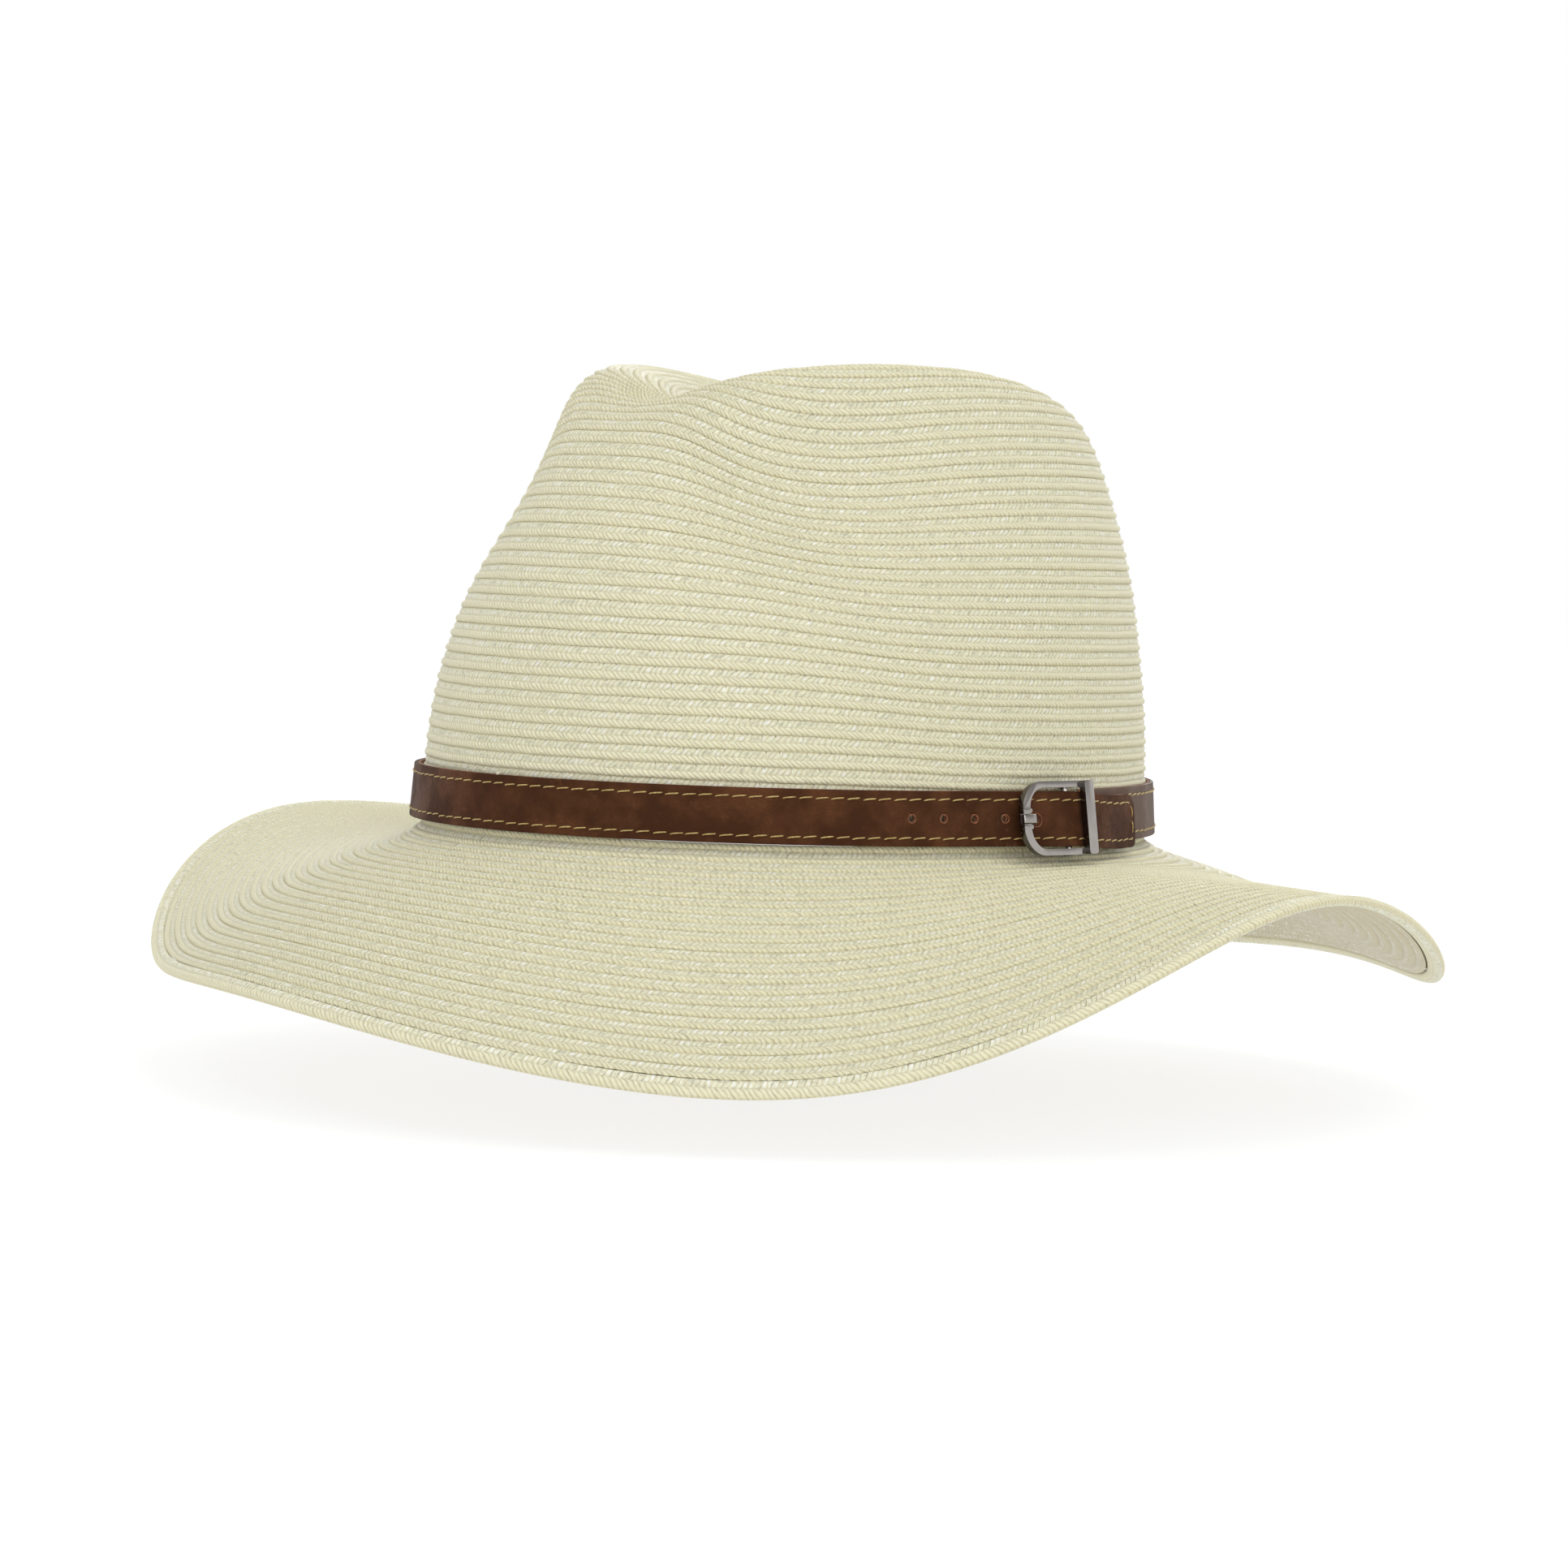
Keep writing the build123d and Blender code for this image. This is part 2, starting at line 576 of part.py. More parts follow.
with BuildPart() as buckle_frame:
    with BuildSketch(buckle_face.offset(FRAME_BACK)):
        with Locations((frame_middle, 0)):
            outline = Rectangle(frame_length, 2 * FRAME_HALF_HEIGHT)
        fillet(outline.vertices().group_by(Axis.X)[0], radius=ARC_CORNER)
        fillet(outline.vertices().group_by(Axis.X)[-1], radius=KEEPER_CORNER)
    extrude(amount=FRAME_THICKNESS)
    with BuildSketch(buckle_face.offset(FRAME_BACK + FRAME_THICKNESS)):
        with Locations((FRAME_RIGHT - KEEPER_WIDTH / 2, 0)):
            RectangleRounded(KEEPER_WIDTH, 2 * FRAME_HALF_HEIGHT, KEEPER_CORNER)
    extrude(amount=KEEPER_BACK + KEEPER_THICKNESS - FRAME_BACK - FRAME_THICKNESS)
    with BuildSketch(buckle_face.offset(FRAME_BACK)):
        with Locations(((opening_left + opening_right) / 2, 0)):
            opening = Rectangle(opening_right - opening_left, 2 * opening_half)
        fillet(opening.vertices().group_by(Axis.X)[0], radius=OPENING_CORNER)
    extrude(amount=FRAME_THICKNESS, mode=Mode.SUBTRACT)
    with BuildSketch(buckle_face.offset(FRAME_BACK)):
        with Locations((FRAME_RIGHT - KEEPER_WIDTH / 2, 0)):
            Rectangle(KEEPER_WIDTH + 1, 2 * opening_half)
    extrude(amount=KEEPER_BACK - FRAME_BACK, mode=Mode.SUBTRACT)
    for side in (1, -1):
        with BuildSketch(buckle_face.offset(FRAME_BACK)):
            with Locations((0, side * (FRAME_HALF_HEIGHT - RAIL / 2))):
                Rectangle(2 * LUG_HALF_WIDTH, RAIL)
        extrude(amount=BAR_OUT - FRAME_BACK)
        with BuildSketch(buckle_section.offset(side * FRAME_HALF_HEIGHT)):
            with Locations((BAR_OUT, 0)):
                Circle(LUG_HALF_WIDTH)
        extrude(amount=-side * RAIL)
        with BuildSketch(buckle_face.offset(NOTCH_FLOOR)):
            with Locations((FRAME_LEFT + ARC_WIDTH / 2, side * boss_middle)):
                RectangleRounded(ARC_WIDTH + 2 * NOTCH_CLEARANCE, BOSS_WIDTH, BOSS_WIDTH / 2 - 0.05)
        extrude(amount=FRAME_BACK + FRAME_THICKNESS + BOSS_RISE - NOTCH_FLOOR)
    with BuildSketch(buckle_section.offset(-FRAME_HALF_HEIGHT)):
        with Locations((BAR_OUT, 0)):
            Circle(BAR_RADIUS)
    extrude(amount=2 * FRAME_HALF_HEIGHT, mode=Mode.SUBTRACT)
    with BuildSketch(buckle_face.offset(NOTCH_FLOOR)):
        with Locations((FRAME_LEFT + ARC_WIDTH / 2, 0)):
            Rectangle(ARC_WIDTH + 2, TONGUE_WIDTH + NOTCH_CLEARANCE)
    extrude(amount=FRAME_THICKNESS + 1, mode=Mode.SUBTRACT)

with BuildPart() as buckle_bar:
    with BuildSketch(buckle_section.offset(-FRAME_HALF_HEIGHT)):
        with Locations((BAR_OUT, 0)):
            Circle(BAR_RADIUS)
    extrude(amount=2 * FRAME_HALF_HEIGHT)

# the tongue's side view: x stands out of the hat, y runs towards the back
tip_out = NOTCH_FLOOR + PIECE_GAP + TONGUE_THICKNESS / 2
with BuildPart() as buckle_tongue:
    with BuildSketch(buckle_section.offset(-TONGUE_WIDTH / 2)):
        with BuildLine():
            FilletPolyline(
                (BAR_OUT - 0.4, 0), (TONGUE_SHANK_OUT, TONGUE_FOOT), (tip_out, TONGUE_KNEE),
                (tip_out, FRAME_LEFT + 0.2), radius=(TONGUE_BEND, TONGUE_BEND),
            )
        trace(line_width=TONGUE_THICKNESS)
        with Locations((BAR_OUT, 0)):
            Circle(EYE_RADIUS)
            Circle(BAR_RADIUS + EYE_CLEARANCE, mode=Mode.SUBTRACT)
    extrude(amount=TONGUE_WIDTH)

loop_inside = BAR_RADIUS + CHAPE_CLEARANCE
loop_outside = loop_inside + CHAPE_PLY
with BuildPart() as buckle_chape:
    with BuildSketch(buckle_section.offset(-BELT_WIDTH / 2 + 0.5)):
        with BuildLine():
            Polyline(
                (BAR_OUT - loop_outside, 0), (0.75, CHAPE_TAIL), (1.35, CHAPE_TAIL),
                (2.3, 4.5), (BAR_OUT + loop_outside, 0), close=True,
            )
        make_face()
        with Locations((BAR_OUT, 0)):
            Circle(loop_outside)
        with BuildLine(mode=Mode.ADD):
            Polyline(
                (BAR_OUT - loop_inside, 0), (BAR_OUT - loop_inside + 0.1, 2.6), (BAR_OUT + loop_inside, 0),
                close=True,
            )
        make_face(mode=Mode.SUBTRACT)
        with Locations((BAR_OUT, 0)):
            Circle(loop_inside, mode=Mode.SUBTRACT)
    extrude(amount=BELT_WIDTH - 1.0)
    with BuildSketch(buckle_face):
        Rectangle(6.4, TONGUE_WIDTH + 0.6)
    extrude(amount=8, mode=Mode.SUBTRACT)

# ---------------------------------------------------------------- write
pieces = {
    "crown": crown.part,
    "brim": brim.part,
    "brim_edge_braid": brim_edge_braid.part,
    "sweatband": sweatband.part,
    "sweatband_stitching": sweatband_stitching.part,
    "sweatband_seam_tab": sweatband_seam_tab,
    "size_label": size_label,
    "belt_strap": belt_strap.part,
    "belt_lining": belt_lining.part,
    "belt_stitching_upper": belt_stitching_upper,
    "belt_stitching_lower": belt_stitching_lower,
    "belt_tip_stitching": belt_tip_stitching,
    "belt_tacks": belt_tacks.part,
    "buckle_chape": buckle_chape.part,
    "buckle_frame": buckle_frame.part,
    "buckle_bar": buckle_bar.part,
    "buckle_tongue": buckle_tongue.part,
}
os.makedirs("parts", exist_ok=True)
for name, part in pieces.items():
    part.label = name
    export_step(part, f"parts/{name}.step")
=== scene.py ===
"""The looks of a sewn-braid sun hat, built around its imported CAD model.

The crown and brim are made row by row from the braid's own cross-section, the belt from its
leather, lining, stitches and punched holes, and the buckle from the CAD metalwork with its edges
rounded. Shapes are worked out in millimetres, in the CAD frame, and made in metres.
"""
import math
import bmesh
import bpy
import numpy as np
from mathutils import Matrix, Vector


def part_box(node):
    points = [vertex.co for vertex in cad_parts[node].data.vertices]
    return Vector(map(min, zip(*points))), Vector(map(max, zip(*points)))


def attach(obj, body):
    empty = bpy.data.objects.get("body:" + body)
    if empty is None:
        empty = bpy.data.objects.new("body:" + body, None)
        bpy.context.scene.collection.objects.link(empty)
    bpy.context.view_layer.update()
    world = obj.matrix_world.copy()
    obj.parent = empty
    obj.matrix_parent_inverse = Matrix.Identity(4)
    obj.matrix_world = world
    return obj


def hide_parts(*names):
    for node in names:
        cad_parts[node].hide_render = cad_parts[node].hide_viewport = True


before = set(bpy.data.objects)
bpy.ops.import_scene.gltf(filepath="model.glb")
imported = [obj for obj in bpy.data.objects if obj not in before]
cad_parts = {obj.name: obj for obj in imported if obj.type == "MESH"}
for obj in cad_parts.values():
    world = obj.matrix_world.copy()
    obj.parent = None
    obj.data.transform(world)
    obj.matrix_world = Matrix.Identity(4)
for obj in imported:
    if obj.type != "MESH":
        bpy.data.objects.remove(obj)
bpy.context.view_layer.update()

METRES = 0.001
ROUND_TURN = 2 * math.pi
SEED = 11

# ---- the hat's form, as in the CAD source
HALF_WIDTH, HALF_LENGTH = 88.0, 102.0
BRAID_THICKNESS = 2.0
CROWN_PROFILE = [
    (1.0, 0.0), (1.0, 25.0), (0.96, 46.0), (0.91, 71.0), (0.775, 103.0),
    (0.70, 113.0), (0.56, 117.0), (0.24, 99.0), (0.05, 92.0),
]
CROWN_HEIGHT, CREST_SETBACK = 120.0, 9.0
FRONT_TAPER, CREST_SIDE_LIFT, CREST_FRONT_LIFT = 0.065, 0.04, 0.05
DIMPLE_DEPTH, DIMPLE_TURN, DIMPLE_SPREAD = 10.5, 52.0, 20.0
DIMPLE_HEIGHT, DIMPLE_TALL, DIMPLE_BLEND = 87.0, 17.0, 0.15
NOTCH_DEPTH, NOTCH_SPREAD = 7.0, 17.0
NOTCH_REACH, NOTCH_REACH_SPREAD = 0.68, 0.2
NOTCH_FROM, NOTCH_FULL = 60.0, 110.0
# how the lifts and pinches fade in up the wall and fade out towards the dent's middle
LIFT_FULL, SETBACK_POWER = 0.625, 1.7
FADE_REACH, FADE_SPAN = 0.05, 0.4
DIMPLE_FADE_REACH, DIMPLE_FADE_SPAN = 0.15, 0.5
BRIM_WIDTH = 87.5
BRIM_WIDTHS = [81.8, 90.7, 81.8, 88.5, 88.6, 87.5, 90.1, 80.9]
BRIM_EDGE_HEIGHTS = [
    -40.2, -49.0, -53.6, -36.0, -10.0, -15.8, -34.8, -36.5,
    -36.1, -29.5, -9.5, -8.3, -5.1, -15.9, -36.0, -39.1,
]
BRIM_SAG_POWER = 1.46
BRIM_FLARE = 5.0
EDGE_BRAID_WIDTH = 4.5

# ---- the braid: rows this far apart, stitched every so often
PITCH = 3.55
STITCH = 3.4
SEAM_TURN = math.pi
ALONG = 0.72
# UVs over the braid: u is this scale times the length along it, v counts the rows from the tip
BRAID_U_SCALE, ROW_END = 0.1, 0.9999
# rows are level with the headline round the sides and the back; the front's stand higher, inside
# an edge that comes in towards the front as the rows go up, and all close in on the tip
ROWS_LENGTH, CROWN_STEP = 190.0, 0.25
FRONT_RISE, RISE_POWER, RISE_TOP, RISE_REFERENCE = 12.0, 1.2, 100.0, 92.0
RISE_EDGE, RISE_EDGE_UP, RISE_EDGE_SLOPE, RISE_EDGE_SOFT = 47.0, 63.0, 0.52, 7.0
TIP_ROWS_END, TIP_ROWS_FADE = 30.0, 55.0
# the row's section: share of the pitch, depth below the crown's outer face
ROW_SECTION = [
    (0.0, 0.88), (0.06, 0.62), (0.16, 0.44), (0.30, 0.37), (0.42, 0.43), (0.49, 0.60),
    (0.56, 0.36), (0.66, 0.11), (0.78, 0.0), (0.89, 0.09), (0.97, 0.42),
]
UNDER_SECTION = [(0.0, 0.42), (0.15, 0.16), (0.38, 0.02), (0.62, 0.0), (0.86, 0.14)]
# the edge's section: share of its width from the last row out and back, height over the brim's face
EDGE_SECTION = [
    (-0.03, -0.9), (0.03, -0.25), (0.12, 0.1), (0.28, 0.22), (0.42, 0.08), (0.50, -0.1), (0.58, 0.12),
    (0.72, 0.34), (0.86, 0.22), (0.95, -0.15), (1.0, -0.8), (0.985, -1.5), (0.92, -2.0),
    (0.78, -2.32), (0.55, -2.4), (0.30, -2.3), (0.08, -2.1), (-0.03, -1.6),
]
PUFF, ROW_WOBBLE, ROW_DRIFT, SCALLOP = 0.16, 0.06, 0.03, 0.07
EDGE_STATIONS = 1500

# ---- the belt
BELT_WIDTH, BELT_BOTTOM = 13.7, 0.2
BELT_MIDDLE = BELT_BOTTOM + BELT_WIDTH / 2
LINING_THICKNESS, LEATHER_THICKNESS = 0.6, 1.0
BELT_REST, BELT_LEAN, BUCKLE_LEAN, LEAN_REACH = 0.8, 4.0, 9.0, 22.0
START_BOW, START_BOW_REACH = 2.3, 15.0
CLIMB_BOW, CLIMB_BOW_REACH = 4.25, 20.0
END_REST, END_BOW, END_BOW_REACH = 2.6, 2.45, 20.0
BOW_POWER = 2.5
STRAP_START, STRAP_TAIL = 6.0, 33.0
# near its buckled start the strap has a paler painted sheen up to the first distance, faded out by the
# second
PALE_TO, PALE_FADED = 50.0, 85.0
HOLE_PITCH, HOLE_DIAMETER, HOLES_LEFT, HOLE_DRAWN = 8.8, 2.0, 4, 1.3
SLOT_LENGTH, SLOT_WIDTH, SLOT_DROP = 5.4, 3.2, 0.3
TONGUE_HOLE = -14.7
BUCKLE_TURN = 94.0
TIP_UPPER_RADIUS, TIP_LOWER_RADIUS = 4.5, 2.0
TIP_DROP, TIP_DROP_FROM, TIP_DROP_REACH = 1.6, -6.0, 30.0
STITCH_MARGIN = 2.1
BELT_STITCH, BELT_STITCH_SEEN = 4.0, 3.5
THREAD, THREAD_SIDES = 0.38, 6
BELT_PROBE, HOLE_SIDES = 0.5, 24
TIP_ZONE, TIP_STATIONS, BELT_STATION = 8.0, 40, 1.0
SURFACE_DEPTH = LINING_THICKNESS + LEATHER_THICKNESS
LEATHER_ROUNDING, LINING_ROUNDING, RIM_SWELL, RIM_RADIUS = 0.28, 0.15, 1.06, 0.13

# ---- the sweatband
SWEATBAND_THICKNESS, SWEATBAND_BOTTOM, SWEATBAND_HEIGHT = 1.2, 0.6, 32.0
SWEATBAND_GAP, SWEATBAND_LEAN = 0.2, 2.9
BAND_OUTSIDE = -BRAID_THICKNESS - SWEATBAND_GAP
BAND_SLOPE = SWEATBAND_LEAN / SWEATBAND_HEIGHT
BAND_STITCH, BAND_STITCH_UP, BAND_THREAD, BAND_STATIONS = 3.0, 2.4, 0.4, 480
PATCH_LIFT, PATCH_CORNER = 0.05, 0.8
# seam tab and blank label: turn in degrees, width, lower and upper edge, thickness
SEAM_TAB = (180.0, 14.0, 3.4, 30.4, 0.6)
SIZE_LABEL = (150.0, 26.0, 4.0, 18.0, 0.35)

# ---- the belt's thread tacks, on the front, the back and the wearer's right
TACK_TURNS, TACK_STRANDS, TACK_THREAD = (0.0, 180.0, 270.0), (-0.35, 0.0, 0.35), 0.36


# ------------------------------------------------------------------ small helpers
def bell(value, centre, spread):
    """1 at the centre, falling off smoothly with the spread."""
    return np.exp(-0.5 * ((value - centre) / spread) ** 2)


def smooth_step(value):
    """0 to 1, eased at both ends."""
    value = np.clip(value, 0, 1)
    return value * value * (3 - 2 * value)


def unit(vectors):
    """The vectors at length 1."""
    return vectors / np.maximum(np.linalg.norm(vectors, axis=-1, keepdims=True), 1e-12)


def running_total(steps):
    """The total of the steps before each place and after the last one."""
    return np.insert(np.cumsum(steps, axis=-1), 0, 0.0, axis=-1)


def curve_table(control, count):
    """Evenly spaced points of the clamped cubic B-spline over the control points."""
    control = np.array(control)
    degree, last = 3, len(control) - 1
    knots = np.concatenate([np.zeros(degree), np.linspace(0, 1, last - degree + 2), np.ones(degree)])
    shares = np.linspace(0, 1, count)
    span = np.clip(np.searchsorted(knots, shares, side="right") - 1, degree, last)
    points = [control[span - degree + k] for k in range(degree + 1)]
    for level in range(1, degree + 1):
        for k in range(degree, level - 1, -1):
            low = knots[span - degree + k]
            high = knots[span + 1 + k - level]
            part = ((shares - low) / (high - low))[:, None]
            points[k] = (1 - part) * points[k - 1] + part * points[k]
    return points[degree]


def new_object(name, mesh, materials):
    """A named object of the scene, with its materials."""
    piece = bpy.data.objects.new(name, mesh)
    bpy.context.scene.collection.objects.link(piece)
    for material in materials:
        mesh.materials.append(material)
    return piece


def mesh_from_arrays(name, points, faces, corner_uvs=None, slots=None):
    """A smooth-shaded mesh from points in mm and an array of four-sided faces."""
    points, faces = points.reshape(-1, 3), faces.reshape(-1, 4)
    mesh = bpy.data.meshes.new(name)
    mesh.vertices.add(len(points))
    mesh.vertices.foreach_set("co", (points * METRES).astype(np.float32).ravel())
    mesh.loops.add(faces.size)
    mesh.loops.foreach_set("vertex_index", faces.astype(np.int32).ravel())
    mesh.polygons.add(len(faces))
    mesh.polygons.foreach_set("loop_start", np.arange(0, faces.size, 4, dtype=np.int32))
    if slots is not None:
        mesh.polygons.foreach_set("material_index", slots.astype(np.int32))
    mesh.polygons.foreach_set("use_smooth", np.ones(len(faces), bool))
    if corner_uvs is not None:
        layer = mesh.uv_layers.new(name="UVMap")
        layer.data.foreach_set("uv", corner_uvs.astype(np.float32).ravel())
    mesh.update(calc_edges=True)
    mesh.validate()
    return mesh


def mount(piece, replaced=None, body="root"):
    """Ties the piece to its body and hides the CAD node that it stands for."""
    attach(piece, body)
    if replaced:
        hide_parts(replaced)


def tube_faces(rings, across, joined):
    """Faces between rings of points; joined also ties the last ring to the first."""
    here = np.arange(rings if joined else rings - 1)[:, None] * across
    ahead = (here + across) % (rings * across)
    near = np.arange(across)
    far = (near + 1) % across
    return np.stack([here + near, here + far, ahead + far, ahead + near], -1).reshape(-1, 4)


def corner_uvs(*pairs):
    """Each face's UVs from the (u, v) of its corners."""
    return np.stack([np.stack(np.broadcast_arrays(u, v), -1) for u, v in pairs], -2)


def braid_uvs(before, step, low, high):
    """UVs of faces that run a step along the braid, from one height to the next."""
    after = before + step
    uvs = corner_uvs((before, low), (after, low), (after, high), (before, high))
    return uvs * np.array([BRAID_U_SCALE, 1.0])


def write_shape(shape, mesh):
    """Turns the shape's faces outwards and writes it into the mesh."""
    bmesh.ops.recalc_face_normals(shape, faces=shape.faces)
    shape.to_mesh(mesh)
    shape.free()


# ------------------------------------------------------------------ the crown's and brim's faces
TABLE_SHARES = np.linspace(0, 1, 4001)
CROWN_TABLE = curve_table(CROWN_PROFILE, len(TABLE_SHARES))


def crown_surface(turn, share):
    """The crown's outside: share 0 at the headline, 1 at the dent's floor, 2 at its centre."""
    reach = np.interp(share, TABLE_SHARES, CROWN_TABLE[:, 0]) * np.clip(2 - share, 0, 1)
    height = np.interp(share, TABLE_SHARES, CROWN_TABLE[:, 1])
    side, front = np.sin(turn), np.cos(turn)
    degrees = (np.degrees(turn) + 180) % 360 - 180
    rise = np.clip(height / CROWN_HEIGHT, 0, 1.1)
    climb = smooth_step(share / LIFT_FULL)
    inside = np.clip((reach - FADE_REACH) / FADE_SPAN, 0, 1)
    lift = -CREST_SIDE_LIFT * np.cos(2 * turn) + CREST_FRONT_LIFT * front
    x = HALF_WIDTH * reach * side * (1 - FRONT_TAPER * rise**2 * front)
    y = -HALF_LENGTH * reach * front + CREST_SETBACK * rise**SETBACK_POWER
    z = height * (1 + lift * climb * inside)
    dimple = DIMPLE_DEPTH * bell(abs(degrees), DIMPLE_TURN, DIMPLE_SPREAD)
    dimple = dimple * bell(height, DIMPLE_HEIGHT, DIMPLE_TALL)
    dimple = dimple * np.clip((reach - DIMPLE_FADE_REACH) / DIMPLE_FADE_SPAN, 0, 1)
    x = x - dimple * math.sin(math.radians(DIMPLE_TURN)) * np.clip(side / DIMPLE_BLEND, -1, 1)
    y = y + dimple * math.cos(math.radians(DIMPLE_TURN))
    notch = NOTCH_DEPTH * bell(degrees, 0, NOTCH_SPREAD) * bell(reach, NOTCH_REACH, NOTCH_REACH_SPREAD)
    z = z - notch * np.clip((height - NOTCH_FROM) / (NOTCH_FULL - NOTCH_FROM), 0, 1) * inside
    return np.stack([x, y, z], -1)


def oval_point(turn, out):
    """A point in plan, this far outside the headline oval."""
    nx, ny = np.sin(turn) / HALF_WIDTH, -np.cos(turn) / HALF_LENGTH
    size = np.hypot(nx, ny)
    return HALF_WIDTH * np.sin(turn) + out * nx / size, -HALF_LENGTH * np.cos(turn) + out * ny / size


def wave(values, turn):
    """The smooth closed wave through values that are evenly spaced round the hat."""
    count = len(values)
    total = 0.0
    for k, value in enumerate(values):
        away = turn - ROUND_TURN * k / count + 1e-7
        total = total + value * np.sin(count * away / 2) / (count * np.tan(away / 2))
    return total


def brim_fall(turn, share):
    """The brim's height at this share of its width: a flare at the crown, then the wave."""
    flare = BRIM_FLARE * (1 - np.exp(-share * BRIM_WIDTH / BRIM_FLARE))
    full_flare = BRIM_FLARE * (1 - math.exp(-BRIM_WIDTH / BRIM_FLARE))
    sag = np.maximum(share, 0) ** BRIM_SAG_POWER
    return -flare + (wave(BRIM_EDGE_HEIGHTS, turn) + full_flare) * sag


TABLE_TURNS = np.linspace(0, ROUND_TURN, 721)


def read_table(table, turn, column):
    """Reads a table over turns and columns between its entries."""
    row = (turn % ROUND_TURN) / ROUND_TURN * (table.shape[0] - 1)
    column = np.clip(column, 0, table.shape[1] - 1.000001)
    row_low, column_low = row.astype(int), column.astype(int)
    row_low = np.minimum(row_low, table.shape[0] - 2)
    part, share = row - row_low, column - column_low
    near = table[row_low, column_low] * (1 - share) + table[row_low, column_low + 1] * share
    far = table[row_low + 1, column_low] * (1 - share) + table[row_low + 1, column_low + 1] * share
    return near * (1 - part) + far * part


def brim_table():
    """How far out the brim is in plan, so that its width along the cloth is kept."""
    shares = np.linspace(0, 1, 401)
    heights = brim_fall(TABLE_TURNS[:, None], shares[None, :])
    run = wave(BRIM_WIDTHS, TABLE_TURNS)[:, None] * np.diff(shares)[None, :]
    return running_total(np.sqrt(np.maximum(run**2 - np.diff(heights, axis=1) ** 2, 0)))


BRIM_OUT = brim_table()


def brim_surface(turn, share):
    """The brim's upper face: share 0 at the crown, 1 at the edge."""
    out = read_table(BRIM_OUT, turn, share * (BRIM_OUT.shape[1] - 1))
    x, y = oval_point(turn, out)
    return np.stack([x, y, brim_fall(turn, share)], -1)


def face_normal(surface, turn, share, sign):
    """The outward or upward normal of a surface."""
    step = 1e-3
    along = surface(turn, share + step) - surface(turn, np.maximum(share - step, 0))
    around = surface(turn + step, share) - surface(turn - step, share)
    return unit(np.cross(around, along)) * sign


def crown_tables():
    """The crown's length from its tip to the headline at each turn, and the share at a distance."""
    shares = np.linspace(2, 0, 1601)
    points = crown_surface(TABLE_TURNS[:, None], shares[None, :])
    lengths = running_total(np.linalg.norm(np.diff(points, axis=1), axis=-1))
    distances = np.arange(0, lengths[:, -1].max() + 2 * PITCH, CROWN_STEP)
    found = np.array([np.interp(distances, row, shares) for row in lengths])
    return lengths[:, -1:], found


CROWN_LENGTHS, CROWN_SHARES = crown_tables()


def row_distance(turn, along):
    """How far from the tip a row lies at each turn; rows close in on the tip inside the dent."""
    up = ROWS_LENGTH - along
    degrees = np.abs((np.degrees(turn) + 180) % 360 - 180)
    rise = FRONT_RISE * (np.clip(up, 0, RISE_TOP) / RISE_REFERENCE) ** RISE_POWER
    edge = RISE_EDGE - RISE_EDGE_SLOPE * (np.clip(up, 0, RISE_TOP) - RISE_EDGE_UP)
    front = 1 / (1 + np.exp((degrees - edge) / RISE_EDGE_SOFT))
    length = np.interp(turn % ROUND_TURN, TABLE_TURNS, CROWN_LENGTHS[:, 0])
    wall = length - up - rise * front
    share = smooth_step((along - TIP_ROWS_END) / TIP_ROWS_FADE)
    return along * (1 - share) + wall * share


def crown_place(turn, along):
    """The crown's point, normal and whether it is above the headline, by row distance."""
    distance = row_distance(turn, along)
    share = read_table(CROWN_SHARES, turn, distance / CROWN_STEP)
    normal = face_normal(crown_surface, turn, np.minimum(share, 1.9), 1)
    flat = (share > 1)[..., None]
    normal = np.where(flat, np.array([0.0, 0.0, 1.0]), normal)
    kept = (along <= ROWS_LENGTH + PITCH / 4) & (along > -PITCH / 5)
    return crown_surface(turn, share), normal, kept


BRIM_ROWS = math.ceil((BRIM_WIDTH - EDGE_BRAID_WIDTH) / PITCH)
BRIM_START = BRIM_WIDTH - EDGE_BRAID_WIDTH - BRIM_ROWS * PITCH


def brim_place(turn, distance):
    """The brim's point and normal by distance along the cloth, and whether it is past the crown."""
    share = (BRIM_START + distance) / BRIM_WIDTH
    inner = np.maximum(share, 0.0)
    return brim_surface(turn, inner), face_normal(brim_surface, turn, inner, -1), share >= -0.01


# ------------------------------------------------------------------ rows of braid
def waver(counts, part, row=0):
    """A soft wave along the rows, -1 to 1, that makes these many waves a round."""
    total = 0.0
    for count in counts:
        total = total + np.sin(ROUND_TURN * count * (part + 1.618 * row))
    return total / len(counts)


def stitch_block(before):
    """How far the braid puffs between stitches, -0.75 to 0.25, by length along it."""
    return np.abs(np.sin(math.pi * before / STITCH)) ** 0.6 - 0.75


def fitted_lengths(step, row, random):
    """Each row's braid length so far, stretched so that a whole number of stitches goes round."""
    length = np.bincount(row, step)
    before = np.cumsum(step) - step - running_total(length)[row]
    fit = (np.round(length / STITCH) * STITCH / length)[row]
    return before * fit + (random.random(len(length)) * STITCH)[row], step * fit


def row_points(place, section, turn, start, before, sideways, swell, under):
    """The section's points at every station of the rows, and which of them are on the hat."""
    shares, depths = np.array(section).T
    block = stitch_block(before)[:, None]
    # each stitch pulls the row's lower edge in, so that it runs in shallow scallops
    shift = shares + ROW_DRIFT * sideways[:, None] + SCALLOP * block * smooth_step(2 * shares - 0.8)
    base, normal, kept = place(turn[:, None], start[:, None] + PITCH * shift)
    band = bell(shares, 0.3, 0.12)
    roll = bell(shares, 0.78, 0.12)
    depth = depths - ROW_WOBBLE * swell[:, None] * (band + roll)
    if under:
        depth = BRAID_THICKNESS - depth
    else:
        depth = np.maximum(depth - PUFF * block * band, 0.0)
    return base - normal * depth[..., None], kept


